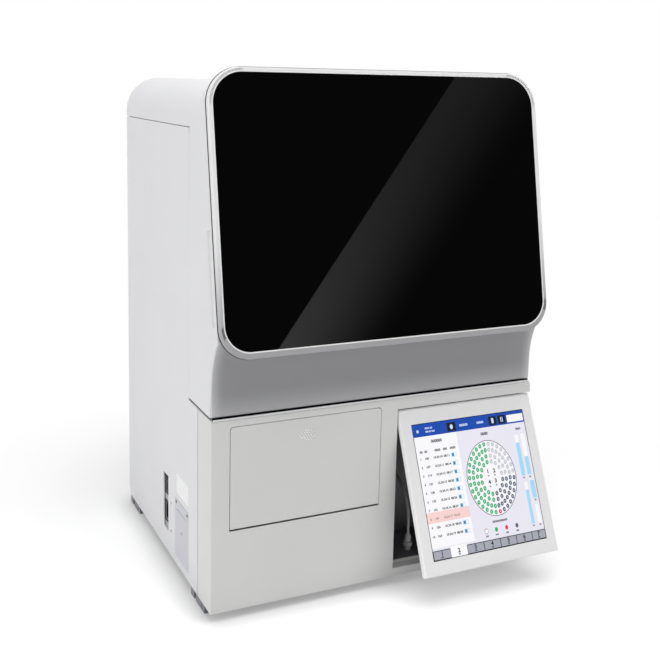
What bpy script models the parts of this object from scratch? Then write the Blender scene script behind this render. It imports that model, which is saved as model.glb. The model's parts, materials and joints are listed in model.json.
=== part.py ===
"""A bench-top immunoassay analyzer, built from its separate pieces.

Metres, +Z up. The front faces -Y, and +X is the user's right. The origin is on the bench,
under the middle of the whole object. At rest the hood and the flap are shut, and the touch
screen is tilted out.
"""

import math

import bmesh
import bpy
from mathutils import Matrix, Vector

# Body
BODY_WIDTH = 0.580
BODY_DEPTH = 0.500
LOWER_HEIGHT = 0.309
HOOD_HEIGHT = 0.504
SEAM_DROP = 0.072
SEAM_SETBACK = 0.114
TOP_RADIUS = 0.060
REAR_CHAMFER = 0.012
FOOT_HEIGHT = 0.016
PANEL = 0.004
SEAM_GAP = 0.0008
FIT_GAP = 0.0003
CUT_OVERRUN = 0.010

# Front fascia
PILLAR_WIDTH = 0.031
FASCIA_WRAP = 0.064
FASCIA_EDGE_RADIUS = 0.008
STRIP_HEIGHT = 0.020
SILL_HEIGHT = 0.0135
SCREEN_SEAT = 0.0172

# Hood front, window frame and glass
HOOD_BOTTOM_GAP = 0.004
CHIN_SETBACK = 0.005
CHIN_RADIUS = 0.1326
CHIN_STRAIGHT = 0.041
FRAME_RISE = 0.023
FRAME_SILL = 0.102
FRAME_TOP_SETBACK = 0.035
FRAME_BOTTOM_SETBACK = -0.0435
FRAME_THICKNESS = 0.010
FRAME_TOP_RADIUS = 0.057
FRAME_BOTTOM_RADIUS = 0.049
RIM_SIDE = 0.009
RIM_TOP = 0.009
RIM_BOTTOM = 0.012
GLASS_THICKNESS = 0.005
GLASS_RECESS = 0.001
GLASS_SEAT = 0.008
COLLAR_INSET = 0.003
COLLAR_DEPTH = 0.028
COLLAR_PROUD = 0.0005

# Finger grips in the hood's cheeks
GRIP_LOW = 0.146
GRIP_HIGH = 0.286
GRIP_DEPTH = 0.006
GRIP_SETBACK = 0.017
SLOT_WIDTH = 0.003
SLOT_BELOW = 0.009
SLOT_ABOVE = 0.002

# Hood hinges
KNUCKLE_RADIUS = 0.005
HINGE_PIN_RADIUS = 0.002
HINGE_SIDE = 0.110
HINGE_WIDTH = 0.060
LEAF_HEIGHT = 0.034
LEAF_THICKNESS = 0.002

# Flap door and the compartment behind it
FLAP_LEFT = 0.031
FLAP_WIDTH = 0.257
FLAP_DROP = 0.013
FLAP_HEIGHT = 0.164
FLAP_THICKNESS = 0.006
FLAP_CORNER = 0.005
FLAP_GAP = 0.0007
FLAP_PIN_RADIUS = 0.0012
FLAP_BOSS = 0.004
STRIKER_LENGTH = 0.012
STRIKER_WIDTH = 0.016
STRIKER_HEIGHT = 0.004
STRIKER_DROP = 0.010
LATCH_GAP = 0.0015
PIN_END_WALL = 0.001
LINER_TO_MOTOR = 0.014
LINER_WALL = 0.002
BIN_CLEARANCE = 0.006
BIN_WALL = 0.002
BIN_HEIGHT = 0.120

# Touch screen
SCREEN_SIDE_GAP = 0.002
SCREEN_END_GAPS = 0.0095
SCREEN_TILT = math.radians(23.7)
SCREEN_MORE_TILT = math.radians(5.0)
BEZEL_THICKNESS = 0.012
BEZEL_EDGE = 0.003
DISPLAY_TOP = 0.027
DISPLAY_BOTTOM = 0.023
DISPLAY_LEFT = 0.020
DISPLAY_RIGHT = 0.019
DISPLAY_THICKNESS = 0.004
DISPLAY_RECESS = 0.0006
SCREEN_AXIS_BACK = 0.017
SCREEN_AXIS_DOWN = 0.008
SCREEN_TOP_GAP = 0.0012
SCREEN_KNUCKLE_RADIUS = 0.0040
SCREEN_PIN_RADIUS = 0.0018
SCREEN_COVER_THICKNESS = 0.016
SCREEN_COVER_WALL = 0.002
COVER_SIDE = 0.018
COVER_TOP = 0.024
SCREEN_EAR = 0.008
SCREEN_HINGE_LEFT = 0.059
SCREEN_HINGE_RIGHT = 0.060
SCREEN_BAR_THICKNESS = 0.006

# Pocket behind the screen
POCKET_MARGIN = 0.004
POCKET_DEPTH = 0.120
CATCH_WIDTH = 0.012
CATCH_DEPTH = 0.016
CATCH_LOW = 0.040
CATCH_HEIGHT = 0.030
FITTING_LEFT = 0.053
FITTING_Y = 0.045
FITTING_RADIUS = 0.008
FITTING_HEIGHT = 0.030
HOSE_RADIUS = 0.0025
HOSE_RISE = 0.020

# Power switch, inlet, label and service cover on the left side
SWITCH_FRONT = 0.229
SWITCH_WIDTH = 0.030
SWITCH_LOW = 0.037
SWITCH_HIGH = 0.136
SERVICE_FRONT = 0.114
SERVICE_WIDTH = 0.074
SERVICE_LOW = 0.015
SERVICE_HIGH = 0.117
LABEL_LOW = 0.127
LABEL_HIGH = 0.163
LABEL_WIDTH = 0.066
SWITCH_PLATE = 0.002
POWER_WIDTH = 0.024
POWER_HEIGHT = 0.030
ROCKER_Z = 0.1165
ROCKER_PROUD = 0.003
ROCKER_DEPTH = 0.010
ROCKER_CLEARANCE = 0.0005
INLET_Z = 0.0665
INLET_DEPTH = 0.022
INLET_WALL = 0.003
INLET_BLADE = 0.002
INLET_BLADE_SPACING = 0.006

# Base pan, feet and inner frame
PAN_THICKNESS = 0.003
PAN_FLANGE = 0.015
PAD_WIDTH = 0.044
PAD_LENGTH = 0.064
PAD_HEIGHT = 0.005
FOOT_RADIUS = 0.017
FOOT_SIDE_INSET = 0.034
FOOT_END_INSET = 0.054
FOOT_STEM_RADIUS = 0.006
FOOT_RIM = 0.006
PLATE = 0.003
PLATE_WINDOW_MARGIN = 0.030
PLATE_WINDOW_HEIGHT = 0.130
PLATE_TOP_DROP = 0.006
FLANGE_REST = 0.012
BULKHEAD_INSET = 0.070

# Carousel, its racks and tubes
CAROUSEL_SIDE = 0.030
CAROUSEL_FRONT = 0.032
CAROUSEL_BACK = 0.038
CAROUSEL_TO_INCUBATOR = 0.043
CAROUSEL_LIFT = 0.012
CAROUSEL_PLATE = 0.004
CAROUSEL_HUB_RADIUS = 0.046
CAROUSEL_HUB_HEIGHT = 0.030
SHAFT_RADIUS = 0.004
SHAFT_CLEARANCE = 0.0004
RACK_TO_HUB = 0.008
RACK_RIM = 0.004
RACK_HEIGHT = 0.050
RACK_SPACING = 0.003
TUBE_RADIUS = 0.0065
TUBE_RISE = 0.024
TUBE_SINK = 0.004
TUBE_ROW_SHARES = (0.13, 0.36, 0.59, 0.84)
TUBE_ROW_COUNTS = (4, 6, 7, 9)
RACK_NAMES = ("a", "b", "c", "d")
MOTOR_SIZE = 0.056
MOTOR_HEIGHT = 0.050

# Incubator, reader and wash well
INCUBATOR_SIDE = 0.085
INCUBATOR_TO_READER = 0.107
INCUBATOR_RADIUS = 0.062
INCUBATOR_HEIGHT = 0.040
INCUBATOR_WALL = 0.006
INCUBATOR_FLOOR = 0.012
RING_RISE = 0.022
RING_CHANNEL_IN = 0.036
RING_CHANNEL_OUT = 0.048
RING_CHANNEL_DEPTH = 0.030
READER_TO_BULKHEAD = 0.088
READER_WIDTH = 0.090
READER_DEPTH = 0.056
READER_HEIGHT = 0.070
READER_TUBE_RADIUS = 0.020
READER_TUBE_HEIGHT = 0.028
WELL_RADIUS = 0.012
WELL_BORE = 0.008
WELL_HEIGHT = 0.080
WELL_FLOOR = 0.006
WELL_FOOT = 0.018

# Gantry with the pipetting probe
RAIL_TO_BULKHEAD = 0.045
RAIL_DEPTH = 0.030
RAIL_HEIGHT = 0.040
RAIL_LIFT = 0.280
PARK_SIDE = 0.075
PARK_Y = 0.065
PROBE_TIP = 0.125
CARRIAGE_WIDTH = 0.052
CARRIAGE_DEPTH = 0.022
CARRIAGE_OVERHANG = 0.008
ARM_WIDTH = 0.022
ARM_HEIGHT = 0.026
ARM_TIP = 0.040
SLIDER_WIDTH = 0.026
SLIDER_LENGTH = 0.040
SLIDER_HEIGHT = 0.056
PROBE_BAR = 0.008
PROBE_BAR_LENGTH = 0.220
NEEDLE_RADIUS = 0.0015
NEEDLE_LENGTH = 0.085
NEEDLE_HUB_RADIUS = 0.005
NEEDLE_HUB_LENGTH = 0.014

# Syringe pump
PUMP_SIDE = 0.055
PUMP_WIDTH = 0.044
PUMP_DEPTH = 0.022
PUMP_LOW = 0.050
PUMP_HEIGHT = 0.150
BARREL_RADIUS = 0.008
BARREL_LENGTH = 0.060
PLUNGER_RADIUS = 0.004
PLUNGER_INSIDE = 0.045
PLUNGER_OUTSIDE = 0.020
PLUNGER_KNOB_RADIUS = 0.009
PLUNGER_KNOB_HEIGHT = 0.006

# Fan, power supply and control board
FAN_SIZE = 0.080
FAN_DEPTH = 0.025
FAN_BORE = 0.037
FAN_SIDE = 0.120
FAN_DROP = 0.141
FAN_HUB_RADIUS = 0.015
FAN_BLADE_GAP = 0.002
FAN_BLADE_THICKNESS = 0.0016
FAN_BLADES = 7
FAN_STRUT = 0.005
SLOT_HEIGHT = 0.004
SLOT_PITCH = 0.009
SUPPLY_WIDTH = 0.150
SUPPLY_DEPTH = 0.180
SUPPLY_HEIGHT = 0.060
SUPPLY_BACK = 0.050
SUPPLY_SIDE = 0.090
BOARD_THICKNESS = 0.002
BOARD_WIDTH = 0.220
BOARD_HEIGHT = 0.150
BOARD_BACK = 0.080
BOARD_LOW = 0.060
STANDOFF = 0.012
BOARD_CHIP_SHARES = ((0.30, 0.55, 0.22), (0.62, 0.35, 0.14), (0.78, 0.70, 0.18))

# Materials as colour, roughness and metallic value
WHITE_PLASTIC = ("white_plastic", (0.72, 0.72, 0.73), 0.42, 0.0)
GREY_PLASTIC = ("grey_plastic", (0.52, 0.52, 0.52), 0.45, 0.0)
SILVER_PLASTIC = ("silver_plastic", (0.42, 0.42, 0.42), 0.38, 0.1)
DARK_PLASTIC = ("dark_plastic", (0.03, 0.03, 0.032), 0.55, 0.0)
BLACK_GLASS = ("black_glass", (0.004, 0.004, 0.005), 0.04, 0.0)
DISPLAY_GLASS = ("display_glass", (0.60, 0.66, 0.80), 0.15, 0.0)
SHEET_STEEL = ("sheet_steel", (0.48, 0.48, 0.52), 0.40, 0.8)
ALUMINIUM = ("aluminium", (0.70, 0.70, 0.71), 0.35, 1.0)
BRIGHT_STEEL = ("bright_steel", (0.62, 0.62, 0.63), 0.22, 1.0)
RUBBER = ("rubber", (0.05, 0.05, 0.05), 0.80, 0.0)
CIRCUIT_GREEN = ("circuit_green", (0.02, 0.16, 0.06), 0.50, 0.0)
RACK_BLUE = ("rack_blue", (0.10, 0.24, 0.50), 0.45, 0.0)

# Views that an outline can be drawn in: local x, y and z become these world directions
PLAN_VIEW = Matrix.Identity(3)
FRONT_VIEW = Matrix(((1, 0, 0), (0, 0, -1), (0, 1, 0)))
SIDE_VIEW = Matrix(((0, 0, 1), (1, 0, 0), (0, 1, 0)))
ARC_STEPS = 8


def start_scene():
    """Clears the scene and returns the collections for the pieces and for the cutters."""
    for old in list(bpy.data.objects):
        bpy.data.objects.remove(old, do_unlink=True)
    made = []
    for name in ("immunoassay_analyzer", "cutters"):
        collection = bpy.data.collections.new(name)
        bpy.context.scene.collection.children.link(collection)
        made.append(collection)
    return made


PARTS, CUTTERS = start_scene()


# Places that several pieces share
LEFT = -BODY_WIDTH / 2
RIGHT = BODY_WIDTH / 2
POCKET_LEFT = FLAP_LEFT + FLAP_WIDTH + PILLAR_WIDTH
SCREEN_LEFT = POCKET_LEFT + SCREEN_SIDE_GAP
SCREEN_HEIGHT = LOWER_HEIGHT - STRIP_HEIGHT - SILL_HEIGHT - SCREEN_END_GAPS
DISPLAY_WIDTH = BODY_WIDTH - SCREEN_LEFT - DISPLAY_LEFT - DISPLAY_RIGHT
DISPLAY_HEIGHT = SCREEN_HEIGHT - DISPLAY_TOP - DISPLAY_BOTTOM
FLAP_HIGH = LOWER_HEIGHT - FLAP_DROP
FLAP_LOW = FLAP_HIGH - FLAP_HEIGHT
SCREEN_FORWARD = (
    (SCREEN_HEIGHT - SCREEN_AXIS_DOWN - BEZEL_EDGE) * math.sin(SCREEN_TILT)
    + (SCREEN_AXIS_BACK - BEZEL_EDGE) * math.cos(SCREEN_TILT)
    + BEZEL_EDGE
    - SCREEN_AXIS_BACK
)
REAR_REACH = BODY_DEPTH + FIT_GAP + 2 * KNUCKLE_RADIUS
FRONT = (SCREEN_FORWARD - REAR_REACH) / 2
REAR = FRONT + BODY_DEPTH
BASE = FOOT_HEIGHT
LOWER_Z = BASE + LOWER_HEIGHT
TOP_Z = LOWER_Z + HOOD_HEIGHT
SEAM_Z = TOP_Z - SEAM_DROP
SEAM_Y = FRONT + SEAM_SETBACK


def material_of(look):
    """The Principled material of this name, made on first use."""
    name, colour, roughness, metallic = look
    found = bpy.data.materials.get(name)
    if found:
        return found
    made = bpy.data.materials.new(name)
    made.use_nodes = True
    made.diffuse_color = (*colour, 1.0)
    shader = made.node_tree.nodes["Principled BSDF"]
    shader.inputs["Base Color"].default_value = (*colour, 1.0)
    shader.inputs["Roughness"].default_value = roughness
    shader.inputs["Metallic"].default_value = metallic
    return made


def piece(name, mesh, look=None):
    """An object with this mesh in the parts collection."""
    made = bpy.data.objects.new(name, mesh)
    PARTS.objects.link(made)
    if look:
        mesh.materials.append(material_of(look))
    return made


def block(name, x_span, y_span, z_span, look=None):
    """A box between three pairs of coordinates, with its origin at its centre."""
    spans = (x_span, y_span, z_span)
    size = [high - low for low, high in spans]
    shape = bmesh.new()
    bmesh.ops.create_cube(shape, size=1.0, matrix=Matrix.Diagonal((*size, 1.0)))
    mesh = bpy.data.meshes.new(name)
    shape.to_mesh(mesh)
    shape.free()
    made = piece(name, mesh, look)
    made.location = [(low + high) / 2 for low, high in spans]
    return made


def rod(name, radius, start, end, sides=16, look=None, end_radius=None):
    """A cylinder or a cone between two points, with its origin halfway."""
    start = Vector(start)
    end = Vector(end)
    along = end - start
    shape = bmesh.new()
    bmesh.ops.create_cone(
        shape,
        cap_ends=True,
        segments=sides,
        radius1=radius,
        radius2=radius if end_radius is None else end_radius,
        depth=along.length,
    )
    bmesh.ops.rotate(shape, verts=shape.verts, matrix=along.to_track_quat("Z", "Y").to_matrix())
    mesh = bpy.data.meshes.new(name)
    shape.to_mesh(mesh)
    shape.free()
    mesh.shade_smooth()
    mesh.set_sharp_from_angle(angle=math.radians(40))
    made = piece(name, mesh, look)
    made.location = (start + end) / 2
    return made


def arc(centre, radius, start, end, steps=ARC_STEPS):
    """Points of an arc between two angles in degrees, both ends included."""
    points = []
    for step in range(steps + 1):
        angle = math.radians(start + (end - start) * step / steps)
        points.append((centre[0] + radius * math.cos(angle), centre[1] + radius * math.sin(angle)))
    return points


def rounded_rectangle(x_span, y_span, top_radius, bottom_radius, steps=ARC_STEPS):
    """A rectangle's outline with rounded corners, anticlockwise from the lower right."""
    left, right = x_span
    low, high = y_span
    corners = (
        (right - bottom_radius, low + bottom_radius, bottom_radius, 270),
        (right - top_radius, high - top_radius, top_radius, 0),
        (left + top_radius, high - top_radius, top_radius, 90),
        (left + bottom_radius, low + bottom_radius, bottom_radius, 180),
    )
    points = []
    for x, y, radius, start in corners:
        if radius > 0:
            points += arc((x, y), radius, start, start + 90, steps)
        else:
            points.append((x, y))
    return points


def outline(name, view, loops, span, look=None, centre=(0, 0, 0)):
    """A flat outline, with its holes as further loops, extruded between two depths of the view."""
    low, high = span
    curve = bpy.data.curves.new(name, "CURVE")
    curve.dimensions = "2D"
    curve.fill_mode = "BOTH"
    curve.extrude = (high - low) / 2
    for loop in loops:
        spline = curve.splines.new("POLY")
        spline.points.add(len(loop) - 1)
        for point, (x, y) in zip(spline.points, loop):
            point.co = (x, y, 0, 1)
        spline.use_cyclic_u = True
    drawn = bpy.data.objects.new(name, curve)
    PARTS.objects.link(drawn)
    bpy.context.view_layer.update()
    mesh = bpy.data.meshes.new_from_object(drawn.evaluated_get(bpy.context.evaluated_depsgraph_get()))
    bpy.data.objects.remove(drawn)
    shape = bmesh.new()
    shape.from_mesh(mesh)
    bmesh.ops.remove_doubles(shape, verts=shape.verts, dist=1e-6)
    bmesh.ops.translate(shape, verts=shape.verts, vec=(0, 0, (low + high) / 2))
    bmesh.ops.rotate(shape, verts=shape.verts, matrix=view)
    bmesh.ops.recalc_face_normals(shape, faces=shape.faces)
    shape.to_mesh(mesh)
    shape.free()
    mesh.materials.clear()
    made = piece(name, mesh, look)
    made.location = centre
    return made


def turned(name, profile, centre, sides=32, look=None):
    """A profile of radius and height, from the top down its outer side, turned about Z."""
    mesh = bpy.data.meshes.new(name)
    edges = [(index, index + 1) for index in range(len(profile) - 1)]
    mesh.from_pydata([(radius, 0, height) for radius, height in profile], edges, [])
    made = piece(name, mesh, look)
    made.location = centre
    screw = made.modifiers.new("turn", "SCREW")
    screw.steps = sides
    screw.render_steps = sides
    screw.use_merge_vertices = True
    screw.merge_threshold = 1e-5
    screw.use_smooth_shade = True
    return made


def tool(made):
    """Turns a piece into a cutter, which is neither rendered nor built."""
    PARTS.objects.unlink(made)
    CUTTERS.objects.link(made)
    made.hide_render = True
    made.display_type = "WIRE"
    return made


def combine(target, other, operation):
    """Cuts, joins or intersects a piece with another, which becomes a cutter."""
    change = target.modifiers.new(operation.lower(), "BOOLEAN")
    change.operation = operation
    change.solver = "EXACT"
    change.object = tool(other)
    return target


def cut(target, *others):
    for other in others:
        combine(target, other, "DIFFERENCE")
    return target


def join(target, *others):
    for other in others:
        combine(target, other, "UNION")
    return target


def round_edges(made, width, segments=2, angle=50):
    """Rounds the edges sharper than an angle."""
    bevel = made.modifiers.new("edges", "BEVEL")
    bevel.width = width
    bevel.segments = segments
    bevel.limit_method = "ANGLE"
    bevel.angle_limit = math.radians(angle)
    return made


def set_origin(made, point):
    """Moves an unrotated object's origin to a world point, leaving its shape in place."""
    shift = Vector(made.location) - Vector(point)
    made.data.transform(Matrix.Translation(shift))
    made.location = point
    return made


def with_cutters(made):
    """A piece and all the cutters behind its Booleans."""
    found = [made]
    for change in made.modifiers:
        if change.type == "BOOLEAN":
            found += with_cutters(change.object)
    return found


def hang_on(parent, *pieces):
    """Parents unrotated pieces, with their cutters, to an unrotated parent placed in the world."""
    for made in pieces:
        for hung in with_cutters(made):
            hung.location = Vector(hung.location) - Vector(parent.location)
            hung.parent = parent


def axis_empty(name, point):
    """An empty on a joint's axis, which carries the pieces that move together."""
    made = bpy.data.objects.new(name, None)
    made.empty_display_size = PANEL
    PARTS.objects.link(made)
    made.location = point
    return made


# Places along the window, the hood and the screen
FRAME_HIGH = TOP_Z + FRAME_RISE
FRAME_LOW = LOWER_Z + FRAME_SILL
FRAME_LEAN = FRAME_TOP_SETBACK - FRAME_BOTTOM_SETBACK
FRAME_TILT = math.atan2(FRAME_LEAN, FRAME_HIGH - FRAME_LOW)
FRAME_SLOPE = math.hypot(FRAME_LEAN, FRAME_HIGH - FRAME_LOW)
FRAME_CENTRE = Vector(
    (
        0,
        FRONT + (FRAME_TOP_SETBACK + FRAME_BOTTOM_SETBACK) / 2,
        (FRAME_HIGH + FRAME_LOW) / 2,
    )
)
WINDOW_VIEW = Matrix.Rotation(-FRAME_TILT, 3, "X") @ FRONT_VIEW
WINDOW_UP = WINDOW_VIEW @ Vector((0, 1, 0))
WINDOW_OUT = WINDOW_VIEW @ Vector((0, 0, 1))
HOOD_AXIS = Vector((0, REAR + FIT_GAP + KNUCKLE_RADIUS, SEAM_Z + SEAM_GAP / 2))
SCREEN_RISE = SCREEN_AXIS_BACK * math.sin(SCREEN_TILT + SCREEN_MORE_TILT) - SCREEN_AXIS_DOWN * (
    1 - math.cos(SCREEN_TILT + SCREEN_MORE_TILT)
)
SCREEN_TOP = LOWER_Z - STRIP_HEIGHT - SCREEN_TOP_GAP - SCREEN_RISE
SCREEN_LOW = SCREEN_TOP - SCREEN_HEIGHT
SCREEN_AXIS = Vector((0, FRONT + SCREEN_AXIS_BACK, SCREEN_TOP - SCREEN_AXIS_DOWN))
FLAP_AXIS = Vector(
    (0, FRONT + FLAP_THICKNESS / 2, BASE + FLAP_LOW + FLAP_THICKNESS / 2)
)
FLAP_SPAN = (LEFT + FLAP_LEFT, LEFT + FLAP_LEFT + FLAP_WIDTH)
SCREEN_HINGES = (LEFT + SCREEN_LEFT + SCREEN_HINGE_LEFT, RIGHT - SCREEN_HINGE_RIGHT)
PAN_TOP = BASE + PAN_THICKNESS
DECK_Z = LOWER_Z + FIT_GAP + PLATE
INNER_LEFT = LEFT + PANEL + PLATE + 2 * FIT_GAP
INNER_RIGHT = -INNER_LEFT

# Places on the worktop, where the carousel is as large as the room beside and in front of it
BULKHEAD_Y = REAR - BULKHEAD_INSET
READER_CENTRE = BULKHEAD_Y - READER_TO_BULKHEAD
INCUBATOR_X = RIGHT - INCUBATOR_SIDE
INCUBATOR_Y = READER_CENTRE - INCUBATOR_TO_READER
WIDTH_LEFT_OVER = BODY_WIDTH - CAROUSEL_SIDE - CAROUSEL_TO_INCUBATOR - INCUBATOR_RADIUS - INCUBATOR_SIDE
DEPTH_LEFT_OVER = BULKHEAD_Y - FRONT - CAROUSEL_FRONT - CAROUSEL_BACK
CAROUSEL_RADIUS = min(WIDTH_LEFT_OVER, DEPTH_LEFT_OVER) / 2
CAROUSEL_X = LEFT + CAROUSEL_SIDE + CAROUSEL_RADIUS
CAROUSEL_Y = FRONT + CAROUSEL_FRONT + CAROUSEL_RADIUS
LINER_DEPTH = CAROUSEL_FRONT + CAROUSEL_RADIUS - MOTOR_SIZE / 2 - LINER_TO_MOTOR
RACK_INNER = CAROUSEL_HUB_RADIUS + RACK_TO_HUB
RACK_OUTER = CAROUSEL_RADIUS - RACK_RIM
PARK_X = RIGHT - PARK_SIDE
PUMP_X = LEFT + PUMP_SIDE
FAN_X = RIGHT - FAN_SIDE


def window_rectangle(side_inset, top_inset, bottom_inset):
    """The window frame's outline, drawn in by these amounts, centred on the frame."""
    low = -FRAME_SLOPE / 2
    high = FRAME_SLOPE / 2
    return rounded_rectangle(
        (LEFT + side_inset, RIGHT - side_inset),
        (low + bottom_inset, high - top_inset),
        FRAME_TOP_RADIUS - side_inset,
        FRAME_BOTTOM_RADIUS - side_inset,
    )


def make_window_frame():
    hole_gap = RIM_SIDE - FIT_GAP
    frame = outline(
        "window_frame",
        WINDOW_VIEW,
        [
            window_rectangle(0, 0, 0),
            window_rectangle(hole_gap, RIM_TOP - FIT_GAP, RIM_BOTTOM - FIT_GAP),
        ],
        (-FRAME_THICKNESS, 0),
        SILVER_PLASTIC,
        FRAME_CENTRE,
    )
    return round_edges(frame, FRAME_THICKNESS / 4, segments=2, angle=60)


def make_window_glass():
    back = -GLASS_RECESS - GLASS_THICKNESS
    glass = outline(
        "window_glass",
        WINDOW_VIEW,
        [window_rectangle(RIM_SIDE, RIM_TOP, RIM_BOTTOM)],
        (back, -GLASS_RECESS),
        BLACK_GLASS,
        FRAME_CENTRE,
    )
    return glass


def frame_back(height, inset):
    """How far back the plane behind the frame lies at a height, moved in by an inset."""
    start = FRAME_CENTRE - WINDOW_OUT * (FRAME_THICKNESS + FIT_GAP + inset)
    return start.y + (height - start.z) * math.tan(FRAME_TILT)


def chin_arc(inset):
    """The chin's hollow curve, from where it leaves the frame down to its straight foot."""
    centre = Vector((FRONT + CHIN_SETBACK - CHIN_RADIUS, LOWER_Z + CHIN_STRAIGHT))
    radius = CHIN_RADIUS + inset
    start = FRAME_CENTRE - WINDOW_OUT * (FRAME_THICKNESS + FIT_GAP + max(inset, COLLAR_PROUD))
    offset = Vector((start.y, start.z)) - centre
    up = Vector((WINDOW_UP.y, WINDOW_UP.z))
    along = offset.dot(up)
    reach = -along + math.sqrt(along**2 - offset.length_squared + radius**2)
    meeting = offset + up * reach
    angle = math.degrees(math.atan2(meeting.y, meeting.x))
    return arc(centre, radius, angle, 0)


def hood_profile():
    """The hood from the side: a deep top over the body, and a front down to the fascia."""
    bottom = LOWER_Z + HOOD_BOTTOM_GAP
    seam = SEAM_Z + SEAM_GAP
    over = TOP_Z + CUT_OVERRUN
    points = [(REAR, seam), (REAR, over), (frame_back(over, COLLAR_PROUD), over)]
    points += chin_arc(0)
    points += [
        (FRONT + CHIN_SETBACK, bottom),
        (SEAM_Y - SEAM_GAP, bottom),
        (SEAM_Y - SEAM_GAP, seam),
    ]
    return points


def hood_inner_profile():
    """The hollow inside the hood, open below."""
    bottom = LOWER_Z - CUT_OVERRUN
    over = TOP_Z + CUT_OVERRUN
    points = [(REAR - PANEL, bottom), (REAR - PANEL, over), (frame_back(over, PANEL), over)]
    points += chin_arc(PANEL)
    points += [(FRONT + CHIN_SETBACK + PANEL, bottom)]
    return points


def make_hood_shell():
    """Top cover, cheeks, chin and window collar in one moulding."""
    depth = (-REAR - CUT_OVERRUN, -FRONT + FRAME_SLOPE)
    arch = rounded_rectangle((LEFT, RIGHT), (BASE, TOP_Z), TOP_RADIUS, 0)
    hood = outline("hood_shell", FRONT_VIEW, [arch], depth, WHITE_PLASTIC)
    side = outline("hood_side", SIDE_VIEW, [hood_profile()], (LEFT - CUT_OVERRUN, RIGHT + CUT_OVERRUN))
    combine(hood, side, "INTERSECT")
    inner = rounded_rectangle(
        (LEFT + PANEL, RIGHT - PANEL), (BASE - CUT_OVERRUN, TOP_Z - PANEL), TOP_RADIUS - PANEL, 0
    )
    hollow = outline("hood_hollow", FRONT_VIEW, [inner], depth)
    inner_side = outline(
        "hood_hollow_side", SIDE_VIEW, [hood_inner_profile()], (LEFT - CUT_OVERRUN, RIGHT + CUT_OVERRUN)
    )
    combine(hollow, inner_side, "INTERSECT")
    cut(hood, hollow)
    aperture = window_rectangle(RIM_SIDE + GLASS_SEAT, RIM_TOP + GLASS_SEAT, RIM_BOTTOM + GLASS_SEAT)
    collar_back = -FRAME_THICKNESS - FIT_GAP - COLLAR_DEPTH
    collar = outline(
        "collar",
        WINDOW_VIEW,
        [window_rectangle(COLLAR_INSET, COLLAR_INSET, COLLAR_INSET)],
        (collar_back, -FRAME_THICKNESS - FIT_GAP),
        None,
        FRAME_CENTRE,
    )
    join(hood, collar)
    opening = outline(
        "window_opening",
        WINDOW_VIEW,
        [aperture],
        (collar_back - CUT_OVERRUN, CUT_OVERRUN),
        None,
        FRAME_CENTRE,
    )
    cut(hood, opening)
    cut(hood, *[grip_cutter(side) for side in (LEFT, RIGHT)])
    cut(hood, *[slot_cutter(side) for side in (LEFT, RIGHT)])
    return hood


def grip_cutter(side):
    """A groove for the fingers in a cheek, along the back of the window frame."""
    ends = []
    for height in (GRIP_LOW, GRIP_HIGH):
        z = LOWER_Z + height
        ends.append(Vector((side, frame_back(z, GRIP_SETBACK), z)))
    groove = rod("grip", GRIP_DEPTH, ends[0], ends[1], sides=12)
    return groove


def slot_cutter(side):
    """The dark slot in a cheek where its two seams meet."""
    return block(
        "slot",
        (side - PANEL - FIT_GAP, side + PANEL + FIT_GAP),
        (SEAM_Y - SEAM_GAP - SLOT_WIDTH, SEAM_Y + SLOT_WIDTH),
        (SEAM_Z - SLOT_BELOW, SEAM_Z + SLOT_ABOVE),
    )


def hinge_rod(name, radius, low, high, look=None):
    """A rod along the hood's axis between two x."""
    start = (low, HOOD_AXIS.y, HOOD_AXIS.z)
    return rod(name, radius, start, (high, HOOD_AXIS.y, HOOD_AXIS.z), sides=14, look=look)


def hinge_leaf(name, leaf_span, z_span, knuckle_spans):
    """A flat leaf on the back of the body, with the knuckles that reach the hinge's pin."""
    leaf_y = (REAR + FIT_GAP, REAR + FIT_GAP + LEAF_THICKNESS)
    leaf = block(name, leaf_span, leaf_y, z_span, BRIGHT_STEEL)
    near = min(z_span, key=lambda z: abs(z - HOOD_AXIS.z))
    inside = near + math.copysign(LEAF_THICKNESS, near - HOOD_AXIS.z)
    root_z = (min(inside, HOOD_AXIS.z), max(inside, HOOD_AXIS.z))
    root_y = (leaf_y[0] + FIT_GAP, leaf_y[1] - FIT_GAP)
    for low, high in knuckle_spans:
        join(leaf, block("root", (low + FIT_GAP, high - FIT_GAP), root_y, root_z))
        join(leaf, hinge_rod("knuckle", KNUCKLE_RADIUS, low, high))
    bore = hinge_rod(
        "hinge_bore",
        HINGE_PIN_RADIUS + FIT_GAP,
        leaf_span[0] - CUT_OVERRUN,
        leaf_span[1] + CUT_OVERRUN,
    )
    return cut(leaf, bore)


def make_hood_hinge(side, x):
    """One of the two hinges at the rear: a fixed leaf, the pin, and the hood's leaf."""
    third = HINGE_WIDTH / 3
    span = (x - HINGE_WIDTH / 2, x + HINGE_WIDTH / 2)
    rest = KNUCKLE_RADIUS + FIT_GAP
    hinge_leaf(
        "hinge_fixed_leaf_" + side,
        span,
        (HOOD_AXIS.z - LEAF_HEIGHT, HOOD_AXIS.z - rest),
        [(span[0], span[0] + third - FIT_GAP), (span[1] - third + FIT_GAP, span[1])],
    )
    hinge_rod("hinge_pin_" + side, HINGE_PIN_RADIUS, span[0], span[1], BRIGHT_STEEL)
    return hinge_leaf(
        "hinge_hood_leaf_" + side,
        span,
        (HOOD_AXIS.z + rest, HOOD_AXIS.z + LEAF_HEIGHT),
        [(span[0] + third + FIT_GAP, span[1] - third - FIT_GAP)],
    )


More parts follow.
